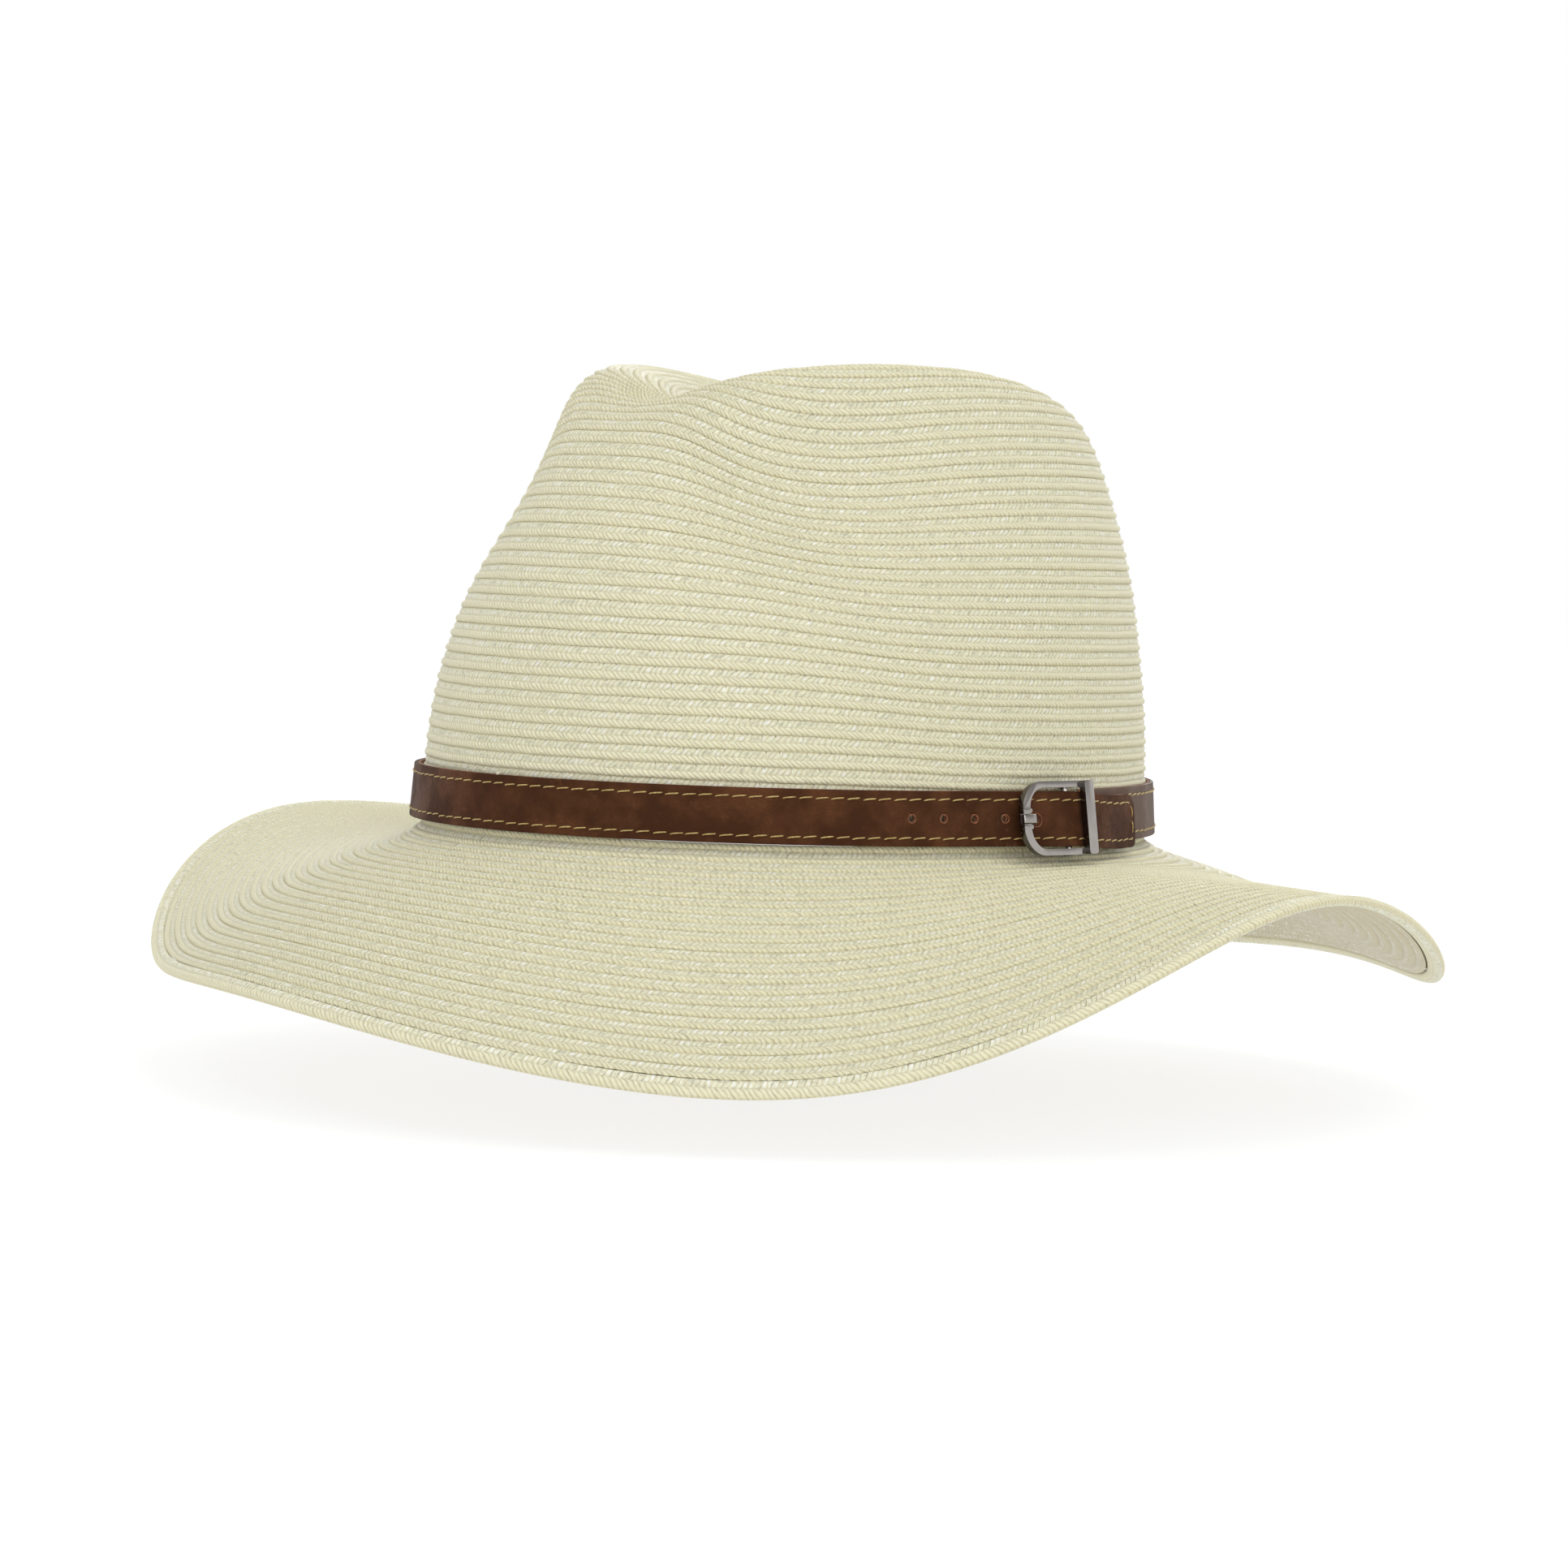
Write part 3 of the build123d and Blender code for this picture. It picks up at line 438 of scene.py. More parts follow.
def braid_rows(
    name, place, first, last, section, material, replaced=None,
    spiral=False, under=False, along=ALONG, more=True,
):
    """Rows of braid from the first up to the last: each row's section is carried round the hat."""
    ring = np.linspace(0, ROUND_TURN, 181)
    middle, _, _ = place(ring, np.full_like(ring, PITCH * (first + last) / 2))
    count = max(int(np.linalg.norm(np.diff(middle, axis=0), axis=1).sum() / along), 24)
    rows = last - first
    # one round more than the strips need, for the wall down to the next piece's first row
    made = rows + 1 if more else rows
    station = np.arange(made * count + (1 if spiral else 0))
    row = station // count
    part = (station % count) / count
    turn = SEAM_TURN + ROUND_TURN * part
    start = PITCH * (first + row + (part if spiral else 0.0))
    centre, _, _ = place(turn, start + 0.5 * PITCH)
    if spiral:
        after = np.minimum(station + 1, len(station) - 1)
        step = np.linalg.norm(centre[after] - centre, axis=1)
        before = np.cumsum(step) - step
        sideways = waver((17.3, 11.7, 26.9), first + row + part)
        swell = waver((53.1, 38.7, 71.3), first + row + part)
    else:
        after = np.where((station + 1) % count == 0, station + 1 - count, station + 1)
        step = np.linalg.norm(centre[after] - centre, axis=1)
        before, step = fitted_lengths(step, row, np.random.default_rng(SEED + first))
        sideways = waver((17, 12, 27), part, first + row)
        swell = waver((53, 39, 71), part, first + row)
    points, kept = row_points(place, section, turn, start, before, sideways, swell, under)

    # strips between one station and the next
    across = len(section)
    shares = np.array([share for share, depth in section])
    corner, ahead = station[: rows * count], after[: rows * count]
    near = corner[:, None] * across + np.arange(across - 1)
    far = ahead[:, None] * across + np.arange(across - 1)
    strip = np.stack([near, far, far + 1, near + 1], -1)
    whole = kept[corner][:, :-1] & kept[ahead][:, :-1]
    low = (first + row[corner])[:, None] + shares
    strip_uv = braid_uvs(before[corner][:, None], step[corner][:, None], low[:, :-1], low[:, 1:])

    # the wall from a row's overhang down to the next row
    corner = corner[: (made - 1) * count]
    ahead = corner + 1 if spiral else ahead[: (made - 1) * count]
    end, next_end = (corner + 1) * across - 1, (ahead + 1) * across - 1
    wall = np.stack([end, next_end, (ahead + count) * across, (corner + count) * across], -1)
    wall_kept = kept[corner][:, -1] & kept[ahead][:, -1]
    wall_uv = braid_uvs(
        before[corner], step[corner], first + row[corner] + shares[-1], first + row[corner] + ROW_END
    )

    faces = np.concatenate([strip[whole], wall[wall_kept]])
    uvs = np.concatenate([strip_uv[whole], wall_uv[wall_kept]])
    if under != (place is crown_place):
        faces, uvs = faces[:, ::-1], uvs[:, ::-1]
    used, numbered = np.unique(faces, return_inverse=True)
    mesh = mesh_from_arrays(name, points.reshape(-1, 3)[used], numbered, uvs)
    mount(new_object(name, mesh, [material]), replaced)


# ------------------------------------------------------------------ node material helpers
class Nodes:
    """Short calls for building a tree of shader nodes."""

    def __init__(self, tree):
        self.tree = tree

    def add(self, kind, **values):
        node = self.tree.nodes.new(kind)
        for key, value in values.items():
            setattr(node, key, value)
        return node

    def link(self, source, target):
        self.tree.links.new(source, target)

    def feed(self, socket, value):
        if isinstance(value, bpy.types.NodeSocket):
            self.link(value, socket)
        else:
            socket.default_value = value

    def maths(self, operation, a, b=0.0):
        node = self.add("ShaderNodeMath", operation=operation)
        for socket, value in zip(node.inputs, (a, b)):
            self.feed(socket, value)
        return node.outputs[0]

    def times(self, a, b):
        return self.maths("MULTIPLY", a, b)

    def plus(self, a, b):
        return self.maths("ADD", a, b)

    def ramp(self, value, low, high, out_low=0.0, out_high=1.0):
        """A smooth step of the value from low to high."""
        node = self.add("ShaderNodeMapRange", interpolation_type="SMOOTHSTEP")
        for socket, number in zip(node.inputs, (value, low, high, out_low, out_high)):
            self.feed(socket, number)
        return node.outputs[0]

    def waves(self, value, period):
        """Rounded ridges, 0 to 1, with this period."""
        return self.maths("ABSOLUTE", self.maths("SINE", self.times(value, math.pi / period)))

    def dot(self, vector, way):
        """How far the vector points this way, -1 to 1."""
        node = self.add("ShaderNodeVectorMath", operation="DOT_PRODUCT")
        self.link(vector, node.inputs[0])
        node.inputs[1].default_value = way
        return node.outputs["Value"]

    def peak(self, value, centre, spread):
        """1 at the centre, falling to 0 this far either side."""
        away = self.maths("ABSOLUTE", self.maths("SUBTRACT", value, centre))
        return self.ramp(away, 0.0, spread, 1.0, 0.0)

    def mix(self, share, a, b):
        node = self.add("ShaderNodeMix", data_type="RGBA")
        self.feed(node.inputs["Factor"], share)
        self.feed(node.inputs[6], a)
        self.feed(node.inputs[7], b)
        return node.outputs[2]

    def noise(self, scale, detail, place, roughness=0.5):
        node = self.add("ShaderNodeTexNoise")
        node.inputs["Scale"].default_value = scale
        node.inputs["Detail"].default_value = detail
        node.inputs["Roughness"].default_value = roughness
        self.link(place, node.inputs["Vector"])
        return node.outputs["Fac"]

    def object_place(self):
        return self.add("ShaderNodeTexCoord").outputs["Object"]

    def uv(self):
        """The mesh's own flat coordinates, u and v."""
        split = self.add("ShaderNodeSeparateXYZ")
        self.link(self.add("ShaderNodeUVMap", uv_map="UVMap").outputs[0], split.inputs[0])
        return split.outputs[0], split.outputs[1]

    def bump(self, height, distance, strength=1.0, normal=None):
        node = self.add("ShaderNodeBump")
        node.inputs["Distance"].default_value = distance * METRES
        node.inputs["Strength"].default_value = strength
        self.link(height, node.inputs["Height"])
        if normal is not None:
            self.link(normal, node.inputs["Normal"])
        return node.outputs["Normal"]


class MaterialNodes(Nodes):
    """The nodes of a new material."""

    def __init__(self, name):
        self.material = bpy.data.materials.new(name)
        self.material.use_nodes = True
        super().__init__(self.material.node_tree)
        self.shader = self.tree.nodes["Principled BSDF"]

    def finish(self, **inputs):
        """Joins these values or links to the shader's own sockets."""
        for key, value in inputs.items():
            self.feed(self.shader.inputs[key.replace("_", " ")], value)
        return self.material


def colour(red, green, blue):
    """A linear colour from 0 to 255 screen values."""
    def linear(value):
        value = value / 255
        return value / 12.92 if value <= 0.04045 else ((value + 0.055) / 1.055) ** 2.4
    return (linear(red), linear(green), linear(blue), 1.0)


# ------------------------------------------------------------------ materials
def braid_material(name, light, warm, groove_shade, groove_shade_share=0.32, relief=1.0):
    """Braid: puffed stitches on the row's upper band, slanting threads on its roll."""
    n = MaterialNodes(name)
    u, v = n.uv()
    along = n.times(u, 1 / BRAID_U_SCALE)
    share = n.maths("FRACT", v)
    down = n.times(share, PITCH)
    place = n.object_place()
    jitter = n.maths("SUBTRACT", n.noise(420.0, 2.0, place), 0.5)

    def slanted(slope, period, strength):
        moved = n.plus(along, n.times(down, slope))
        moved = n.plus(moved, n.times(jitter, strength))
        return n.waves(moved, period)

    rope = n.plus(slanted(-1.2, 1.4, 1.3), n.times(slanted(-1.2, 0.42, 0.5), 0.35))
    blob = n.plus(slanted(0.7, 1.45, 1.7), n.times(slanted(1.0, 0.5, 0.8), 0.5))
    chosen = n.add("ShaderNodeMix", data_type="FLOAT")
    n.link(n.ramp(share, 0.46, 0.56), chosen.inputs[0])
    n.link(blob, chosen.inputs[2])
    n.link(rope, chosen.inputs[3])
    height = chosen.outputs[0]

    # stitches, the holes and loops beside them, and the groove between rows; the stitch line, the holes and
    # the groove are painted darker as shade
    fibre = n.noise(1500.0, 2.0, place)
    clump = n.noise(520.0, 2.0, place, 0.6)
    stitch = n.maths("FRACT", n.maths("DIVIDE", along, STITCH))
    in_stitch = n.ramp(n.maths("ABSOLUTE", n.maths("SUBTRACT", stitch, 0.5)), 0.40, 0.46, 1.0, 0.0)
    # the stitch line: partly the sunk stitching itself, partly painted shade in the valley between band and
    # roll
    line = n.times(n.peak(share, 0.49, 0.055), in_stitch)
    # painted shade: the groove between rows is darkened towards the groove's shade colour
    groove_shade_mask = n.maths("MAXIMUM", n.peak(share, 0.0, 0.08), n.peak(share, 1.0, 0.07))
    # painted shade: the needle holes beside each stitch, which aren't modelled, are painted as dark dots
    needle_hole_shade = n.times(n.peak(stitch, 0.02, 0.12), n.peak(share, 0.07, 0.11))
    needle_hole_shade = n.times(needle_hole_shade, n.ramp(clump, 0.38, 0.55))
    loop = n.times(n.peak(stitch, 0.16, 0.10), n.peak(share, 0.06, 0.10))
    on_band = n.peak(share, 0.27, 0.24)

    # painted highlight: near-white glints on the puffs of the upper band
    shine = n.times(n.ramp(clump, 0.5, 0.64), n.ramp(blob, 0.6, 1.1))
    # painted shade: greyish dark between the puffs of the upper band
    painted_band_shade = n.ramp(clump, 0.46, 0.36)
    tone = n.mix(n.ramp(share, 0.35, 0.95), light, warm)
    for mask, strength, tint in (
        # painted shade in the valleys between the slanting threads
        (n.ramp(height, 1.1, 0.15), 0.66, groove_shade),
        (n.times(shine, on_band), 0.95, colour(253, 253, 246)),
        (n.times(painted_band_shade, on_band), 0.5, colour(186, 186, 166)),
        (line, 0.4, groove_shade),
        (groove_shade_mask, groove_shade_share, groove_shade),
        (needle_hole_shade, 0.9, colour(116, 98, 62)),
        (loop, 0.7, colour(250, 249, 238)),
        # lighter fine fibres: partly the braid's own pale fibres, partly painted glints
        (n.ramp(fibre, 0.54, 0.72), 0.25, colour(246, 246, 236)),
        (n.ramp(n.noise(26.0, 2.0, place), 0.4, 0.7), 0.10, warm),
    ):
        tone = n.mix(n.times(mask, strength), tone, tint)

    normal = n.bump(height, 0.3 * relief, 1.0)
    normal = n.bump(clump, 0.35 * relief, 0.7, normal)
    normal = n.bump(fibre, 0.06, 0.8, normal)
    rough = n.ramp(fibre, 0.35, 0.7, 0.62, 0.36)
    n.shader.inputs["Sheen Weight"].default_value = 0.06
    n.shader.inputs["Sheen Roughness"].default_value = 0.5
    n.shader.inputs["Specular IOR Level"].default_value = 0.42
    return n.finish(Base_Color=tone, Roughness=rough, Normal=normal)


def leather_material(name, base, deep, painted_sheen):
    """Grained leather; near its buckled start the belt gets a paler painted sheen and a higher specular
    level.
    """
    n = MaterialNodes(name)
    place = n.object_place()
    distance, _ = n.uv()
    start = n.ramp(distance, PALE_TO, PALE_FADED, 1.0, 0.0)
    grain = n.add("ShaderNodeTexVoronoi", feature="SMOOTH_F1")
    grain.inputs["Scale"].default_value = 1700.0
    grain.inputs["Smoothness"].default_value = 0.4
    warp = n.noise(600.0, 2.0, place)
    # the grain's cells are pushed about, so that they aren't even
    shifted = n.add("ShaderNodeVectorMath", operation="ADD")
    spread = n.add("ShaderNodeVectorMath", operation="SCALE")
    spread.inputs[3].default_value = 0.0007
    wander = n.add("ShaderNodeTexNoise")
    wander.inputs["Scale"].default_value = 500.0
    n.link(place, wander.inputs["Vector"])
    n.link(wander.outputs["Color"], spread.inputs[0])
    n.link(place, shifted.inputs[0])
    n.link(spread.outputs[0], shifted.inputs[1])
    n.link(shifted.outputs[0], grain.inputs["Vector"])
    cells = grain.outputs["Distance"]
    patches = n.ramp(n.noise(85.0, 3.0, place, 0.6), 0.35, 0.7)
    tone = n.mix(patches, deep, base)
    tone = n.mix(n.times(n.ramp(cells, 0.25, 0.6), 0.30), tone, deep)
    streak = n.ramp(n.noise(320.0, 4.0, place, 0.7), 0.58, 0.75)
    tone = n.mix(n.times(streak, 0.16), tone, colour(150, 104, 74))
    # painted sheen: a paler greyish tone near the buckled start, standing in for the glancing reflection on
    # the belt there
    tone = n.mix(n.times(start, 0.55), tone, painted_sheen)
    normal = n.bump(cells, 0.16, 0.5)
    normal = n.bump(warp, 0.12, 0.5, normal)
    rough = n.ramp(patches, 0.0, 1.0, 0.56, 0.46)
    shine = n.ramp(start, 0.0, 1.0, 0.05, 0.20)
    return n.finish(Base_Color=tone, Roughness=rough, Specular_IOR_Level=shine, Normal=normal)


def fibre_material(name, base, dark, scale=1400.0, depth=0.1, rough=0.9):
    """A matt fibrous surface: raw leather edge, suede, thread or tape."""
    n = MaterialNodes(name)
    place = n.object_place()
    fibres = n.noise(scale, 4.0, place, 0.65)
    blotch = n.noise(scale / 12, 2.0, place)
    tone = n.mix(n.ramp(fibres, 0.35, 0.7), dark, base)
    tone = n.mix(n.times(n.ramp(blotch, 0.4, 0.65), 0.25), tone, dark)
    n.shader.inputs["Sheen Weight"].default_value = 0.15
    return n.finish(Base_Color=tone, Roughness=rough, Normal=n.bump(fibres, depth, 0.8))


def twill_material(name, base, dark):
    """A fine diagonal weave over the sweatband, from its UV in millimetres."""
    n = MaterialNodes(name)
    u, v = n.uv()
    rib = n.waves(n.plus(u, v), 0.9)
    weft = n.waves(v, 0.45)
    cloth = n.plus(rib, n.times(weft, 0.4))
    fuzz = n.noise(1800.0, 2.0, n.object_place())
    tone = n.mix(n.times(n.ramp(rib, 0.5, 0.0), 0.5), base, dark)
    tone = n.mix(n.times(fuzz, 0.2), tone, dark)
    n.shader.inputs["Sheen Weight"].default_value = 0.1
    return n.finish(Base_Color=tone, Roughness=0.85, Normal=n.bump(cloth, 0.12, 0.7))


def metal_material(name, base, painted_edge_highlight, dark, facing):
    """Dark plated metal: the faces that look out of the hat keep the plated tone, the sides turned away get
    painted shade and the rounded edges between get a painted highlight.
    """
    n = MaterialNodes(name)
    place = n.object_place()
    clouds = n.noise(140.0, 3.0, place, 0.6)
    scratches = n.noise(900.0, 3.0, place, 0.7)
    rough = n.plus(n.ramp(clouds, 0.3, 0.7, 0.10, 0.17), n.ramp(scratches, 0.6, 0.8, 0.0, 0.12))
    tone = n.mix(n.ramp(clouds, 0.35, 0.7), base, tuple(c * 0.86 for c in base[:3]) + (1.0,))
    level = n.dot(n.add("ShaderNodeNewGeometry").outputs["Normal"], facing)
    # painted shade: the sides turned away from the facing direction darken, standing in for the dark
    # reflections of the leather beside them
    tone = n.mix(n.ramp(level, 0.25, 0.6, 1.0, 0.0), tone, dark)
    # painted highlight: a bright band where the rounded edges turn from face to side
    tone = n.mix(n.peak(level, 0.78, 0.2), tone, painted_edge_highlight)
    n.shader.inputs["Metallic"].default_value = 1.0
    return n.finish(Base_Color=tone, Roughness=rough, Normal=n.bump(clouds, 0.05, 0.15))


# the third colour of each braid is the painted shade of its grooves
BRAID = braid_material("braid_crown", colour(241, 239, 209), colour(239, 235, 201), colour(198, 182, 136))
BRAID_BRIM = braid_material(
    "braid_brim", colour(240, 238, 209), colour(238, 234, 199), colour(200, 185, 138), groove_shade_share=0.34
)
BRAID_UNDER = braid_material(
    "braid_under", colour(217, 211, 184), colour(211, 202, 167), colour(172, 152, 108), relief=0.7
)
# the last colour is the painted sheen near the belt's buckled start
LEATHER = leather_material("belt_leather", colour(91, 56, 34), colour(62, 36, 20), colour(100, 79, 63))
RAW_EDGE = fibre_material("raw_leather_edge", colour(176, 112, 72), colour(112, 66, 40))
SUEDE = fibre_material("leather_flesh_side", colour(168, 112, 74), colour(120, 76, 48))
BELT_THREAD = fibre_material("belt_thread", colour(214, 194, 126), colour(150, 120, 62), 2600.0, 0.06, 0.6)
PALE_THREAD = fibre_material("pale_thread", colour(228, 222, 200), colour(186, 178, 150), 2600.0, 0.06, 0.7)
TAPE = twill_material("sweatband_twill", colour(226, 220, 202), colour(176, 166, 140))
LABEL_CLOTH = twill_material("blank_label_satin", colour(240, 239, 233), colour(206, 204, 196))
# the plated tone, the painted edge highlight, the painted shade of the sides, and the way the buckle faces
# out
GUNMETAL = metal_material(
    "polished_gunmetal", (0.40, 0.37, 0.345, 1.0), (0.76, 0.73, 0.69, 1.0), (0.15, 0.135, 0.13, 1.0),
    (0.988, 0.009, 0.156),
)


# ------------------------------------------------------------------ crown and brim pieces
def braid_body():
    """The crown and the brim, in bands of rows, with their insides."""
    crown_rows = math.ceil(ROWS_LENGTH / PITCH) + 1
    crown_bands = [-1, 10, 18, 26, 33, 40, crown_rows]
    brim_bands = [0, 7, 13, 19, BRIM_ROWS]
    crown_inside = {"spiral": True, "under": True, "along": 1.4}
    brim_under = {"under": True, "along": 1.1}
    for name, place, bands, section, material, node, kind in (
        ("crown_rows", crown_place, crown_bands, ROW_SECTION, BRAID, "crown", {"spiral": True}),
        ("crown_lining_rows", crown_place, [-1, crown_rows], UNDER_SECTION, BRAID_UNDER, None, crown_inside),
        ("brim_rows", brim_place, brim_bands, ROW_SECTION, BRAID_BRIM, "brim", {}),
        ("brim_under_rows", brim_place, [0, 14, BRIM_ROWS], UNDER_SECTION, BRAID_UNDER, None, brim_under),
    ):
        for k, (first, last) in enumerate(zip(bands, bands[1:])):
            braid_rows(
                name if len(bands) == 2 else f"{name}_{k + 1}", place, first, last, section, material,
                None if k else node, more=last < bands[-1], **kind,
            )


def edge_row():
    """The doubled last row, whose cloth wraps round the brim's edge."""
    count = EDGE_STATIONS
    turn = SEAM_TURN + ROUND_TURN * np.arange(count) / count
    shares, heights = np.array(EDGE_SECTION).T
    out = (BRIM_WIDTH - EDGE_BRAID_WIDTH + shares * EDGE_BRAID_WIDTH) / BRIM_WIDTH
    base = brim_surface(turn[:, None], np.minimum(out, 1.0))
    normal = face_normal(brim_surface, turn[:, None], np.minimum(out, 0.999), -1)
    rim = base[:, 7, :]
    length = np.cumsum(np.linalg.norm(np.roll(rim, -1, 0) - rim, axis=1))
    fit = round(length[-1] / STITCH) * STITCH / length[-1]
    step = np.diff(np.concatenate([[0], length])) * fit
    before = length * fit - step
    swell = ROW_WOBBLE * waver((47, 31, 67), np.arange(count) / count, BRIM_ROWS)
    top = (bell(shares, 0.28, 0.12) + bell(shares, 0.74, 0.12)) * (heights > -0.6)
    lifted = heights + (0.5 * PUFF * stitch_block(before) + swell)[:, None] * top
    points = base + normal * lifted[..., None]
    across = len(shares)
    faces = tube_faces(count, across, True)[:, [0, 3, 2, 1]]
    section = np.concatenate([np.linspace(0.0, 0.999, 11), np.linspace(1.0, 1.999, across - 10)])
    uvs = braid_uvs(before[:, None], step[:, None], section[:-1], section[1:])
    mesh = mesh_from_arrays("brim_edge_row", points, faces, uvs)
    mount(new_object("brim_edge_row", mesh, [BRAID_BRIM]), "brim_edge_braid")


# ------------------------------------------------------------------ belt
OVAL_TURNS = math.radians(BUCKLE_TURN) + np.linspace(0, ROUND_TURN, 2881)
OVAL_LENGTHS = running_total(np.hypot(*np.diff(oval_point(OVAL_TURNS, 0.0))))
ROUND = float(OVAL_LENGTHS[-1])
BELT_END = ROUND + STRAP_TAIL


def strap_out(distance):
    """How far the strap's inner face stands off the crown."""
    start = BELT_REST + START_BOW * np.exp(-np.abs(distance / START_BOW_REACH) ** BOW_POWER)
    past = distance - ROUND
    climb = BELT_REST + CLIMB_BOW * np.exp(-np.abs(past / CLIMB_BOW_REACH) ** BOW_POWER)
    end = END_REST + END_BOW * np.exp(-np.abs(past / END_BOW_REACH) ** BOW_POWER)
    return np.where(distance < ROUND / 2, start, np.where(past < 0, climb, end))


def belt_surface(distance, depth, height):
    """A point of the belt, this far outside the strap's inner face."""
    past = np.minimum(distance, np.abs(distance - ROUND))
    lean = np.radians(BELT_LEAN + (BUCKLE_LEAN - BELT_LEAN) * np.exp(-((past / LEAN_REACH) ** 2)))
    turn = np.interp(distance % ROUND, OVAL_LENGTHS, OVAL_TURNS)
    out = strap_out(distance) + depth + (BELT_MIDDLE - height) * np.tan(lean)
    x, y = oval_point(turn, out)
    drop = TIP_DROP * smooth_step((distance - ROUND - TIP_DROP_FROM) / TIP_DROP_REACH)
    return np.stack([x, y, height - drop], -1)


def belt_limits(distance, inset):
    """The belt's lowest and highest edge at a distance, inset, with its end rounded off."""
    left = np.maximum(BELT_END - distance, 0.0)

    def rounding(radius):
        inside = np.clip(radius - left, 0, radius)
        return radius - np.sqrt(np.maximum(radius**2 - inside**2, 0))

    top = BELT_BOTTOM + BELT_WIDTH - rounding(TIP_UPPER_RADIUS) - inset
    bottom = BELT_BOTTOM + rounding(TIP_LOWER_RADIUS) + inset
    return bottom, top


def band_piece(name, depth, thickness, edge, materials, replaced, edge_slot):
    """One ply of the belt: a rounded band with its holes punched, as one closed mesh."""
    end = np.concatenate([
        np.arange(STRAP_START, BELT_END - TIP_ZONE, BELT_STATION),
        BELT_END - TIP_ZONE * np.cos(np.linspace(0, math.pi / 2, TIP_STATIONS)),
    ])
    flat = np.linspace(0, 1, 15)
    arc = np.linspace(0, math.pi / 2, 4)
    # once round the section: share of the height between the rounded corners, offsets in mm
    ring = [(f, 0.0, thickness) for f in flat]
    ring += [(1.0, edge * math.sin(a), thickness - edge + edge * math.cos(a)) for a in arc[1:]]
    ring += [(1.0, edge * math.cos(a), edge - edge * math.sin(a)) for a in arc]
    ring += [(f, 0.0, 0.0) for f in flat[::-1][1:]]
    ring += [(0.0, -edge * math.sin(a), edge - edge * math.cos(a)) for a in arc[1:]]
    ring += [(0.0, -edge * math.cos(a), thickness - edge + edge * math.sin(a)) for a in arc[:-1]]
    share, beyond, level = (np.array(column) for column in zip(*ring))
    bottom, top = belt_limits(end, edge)
    height = bottom[:, None] + share[None, :] * (top - bottom)[:, None] + beyond[None, :]
    points = belt_surface(end[:, None], depth + level, height)
    rows, across = height.shape
    faces = tube_faces(rows, across, False)
    side = np.broadcast_to((beyond != 0) | (np.roll(beyond, -1) != 0), (rows - 1, across))
    slots = np.where(side.reshape(-1), edge_slot, 0)
    here, there = end[:-1, None], end[1:, None]
    ahead = np.roll(height, -1, 1)
    uvs = corner_uvs((here, height[:-1]), (here, ahead[:-1]), (there, ahead[1:]), (there, height[1:]))
    mesh = mesh_from_arrays(name, points, faces, uvs, slots)
    shape = bmesh.new()
    shape.from_mesh(mesh)
    shape.verts.ensure_lookup_table()
    for row in (0, rows - 1):
        loop = [shape.verts[row * across + n] for n in range(across)]
        shape.faces.new(loop if row == 0 else loop[::-1]).material_index = 1
    write_shape(shape, mesh)
    piece = new_object(name, mesh, materials)
    punch(piece)
    mount(piece, replaced)


def belt_matrix(distance, depth):
    """A place halfway up the belt: x along it to the back, y up it, z out of the hat, in metres."""
    distances = distance + np.array([0.0, BELT_PROBE, 0.0])
    heights = BELT_MIDDLE + np.array([0.0, 0.0, BELT_PROBE])
    here, ahead, above = belt_surface(distances, depth, heights)
    along = unit(ahead - here)
    out = unit(np.cross(along, above - here))
    up = np.cross(out, along)
    matrix = np.eye(4)
    matrix[:3, 0], matrix[:3, 1], matrix[:3, 2], matrix[:3, 3] = along, up, out, here * METRES
    return Matrix(matrix.tolist())


def slot_outline(length, width):
    """A lying slot's outline round its centre."""
    angles = ROUND_TURN * np.arange(HOLE_SIDES) / HOLE_SIDES
    shift = np.where(np.cos(angles) >= 0, 1, -1) * (length - width) / 2
    return list(zip(shift + width / 2 * np.cos(angles), width / 2 * np.sin(angles)))


def hole_places():
    """Each hole's distance along the belt, its drop and its outline."""
    tongue = ROUND + TONGUE_HOLE
    holes = [(tongue, -SLOT_DROP, slot_outline(SLOT_LENGTH, SLOT_WIDTH))]
    for k in range(1, HOLES_LEFT + 1):
        place = tongue + HOLE_DRAWN - k * HOLE_PITCH
        holes.append((place, 0.0, slot_outline(HOLE_DIAMETER, HOLE_DIAMETER)))
    return holes


def punch(piece):
    """Cuts the belt's holes, whose walls show the raw edge."""
    shape = bmesh.new()
    for distance, drop, outline in hole_places():
        matrix = belt_matrix(distance, -1.0)
        rings = []
        for level in (0.0, 4.0):
            rings.append([
                shape.verts.new(matrix @ Vector((x * METRES, (y + drop) * METRES, level * METRES)))
                for x, y in outline
            ])
        count = len(outline)
        for n in range(count):
            m = (n + 1) % count
            shape.faces.new((rings[0][n], rings[0][m], rings[1][m], rings[1][n])).material_index = 1
        shape.faces.new(rings[0][::-1]).material_index = 1
        shape.faces.new(rings[1]).material_index = 1
    mesh = bpy.data.meshes.new("punches")
    shape.to_mesh(mesh)
    shape.free()
    cutter = bpy.data.objects.new("punches", mesh)
    bpy.context.scene.collection.objects.link(cutter)
    for slot in piece.material_slots:
        mesh.materials.append(slot.material)
    cut = piece.modifiers.new("cut", "BOOLEAN")
    cut.operation, cut.solver, cut.object = "DIFFERENCE", "EXACT", cutter
    graph = bpy.context.evaluated_depsgraph_get()
    mesh = bpy.data.meshes.new_from_object(piece.evaluated_get(graph))
    piece.modifiers.clear()
    old, piece.data = piece.data, mesh
    bpy.data.meshes.remove(old)
    bpy.data.objects.remove(cutter)


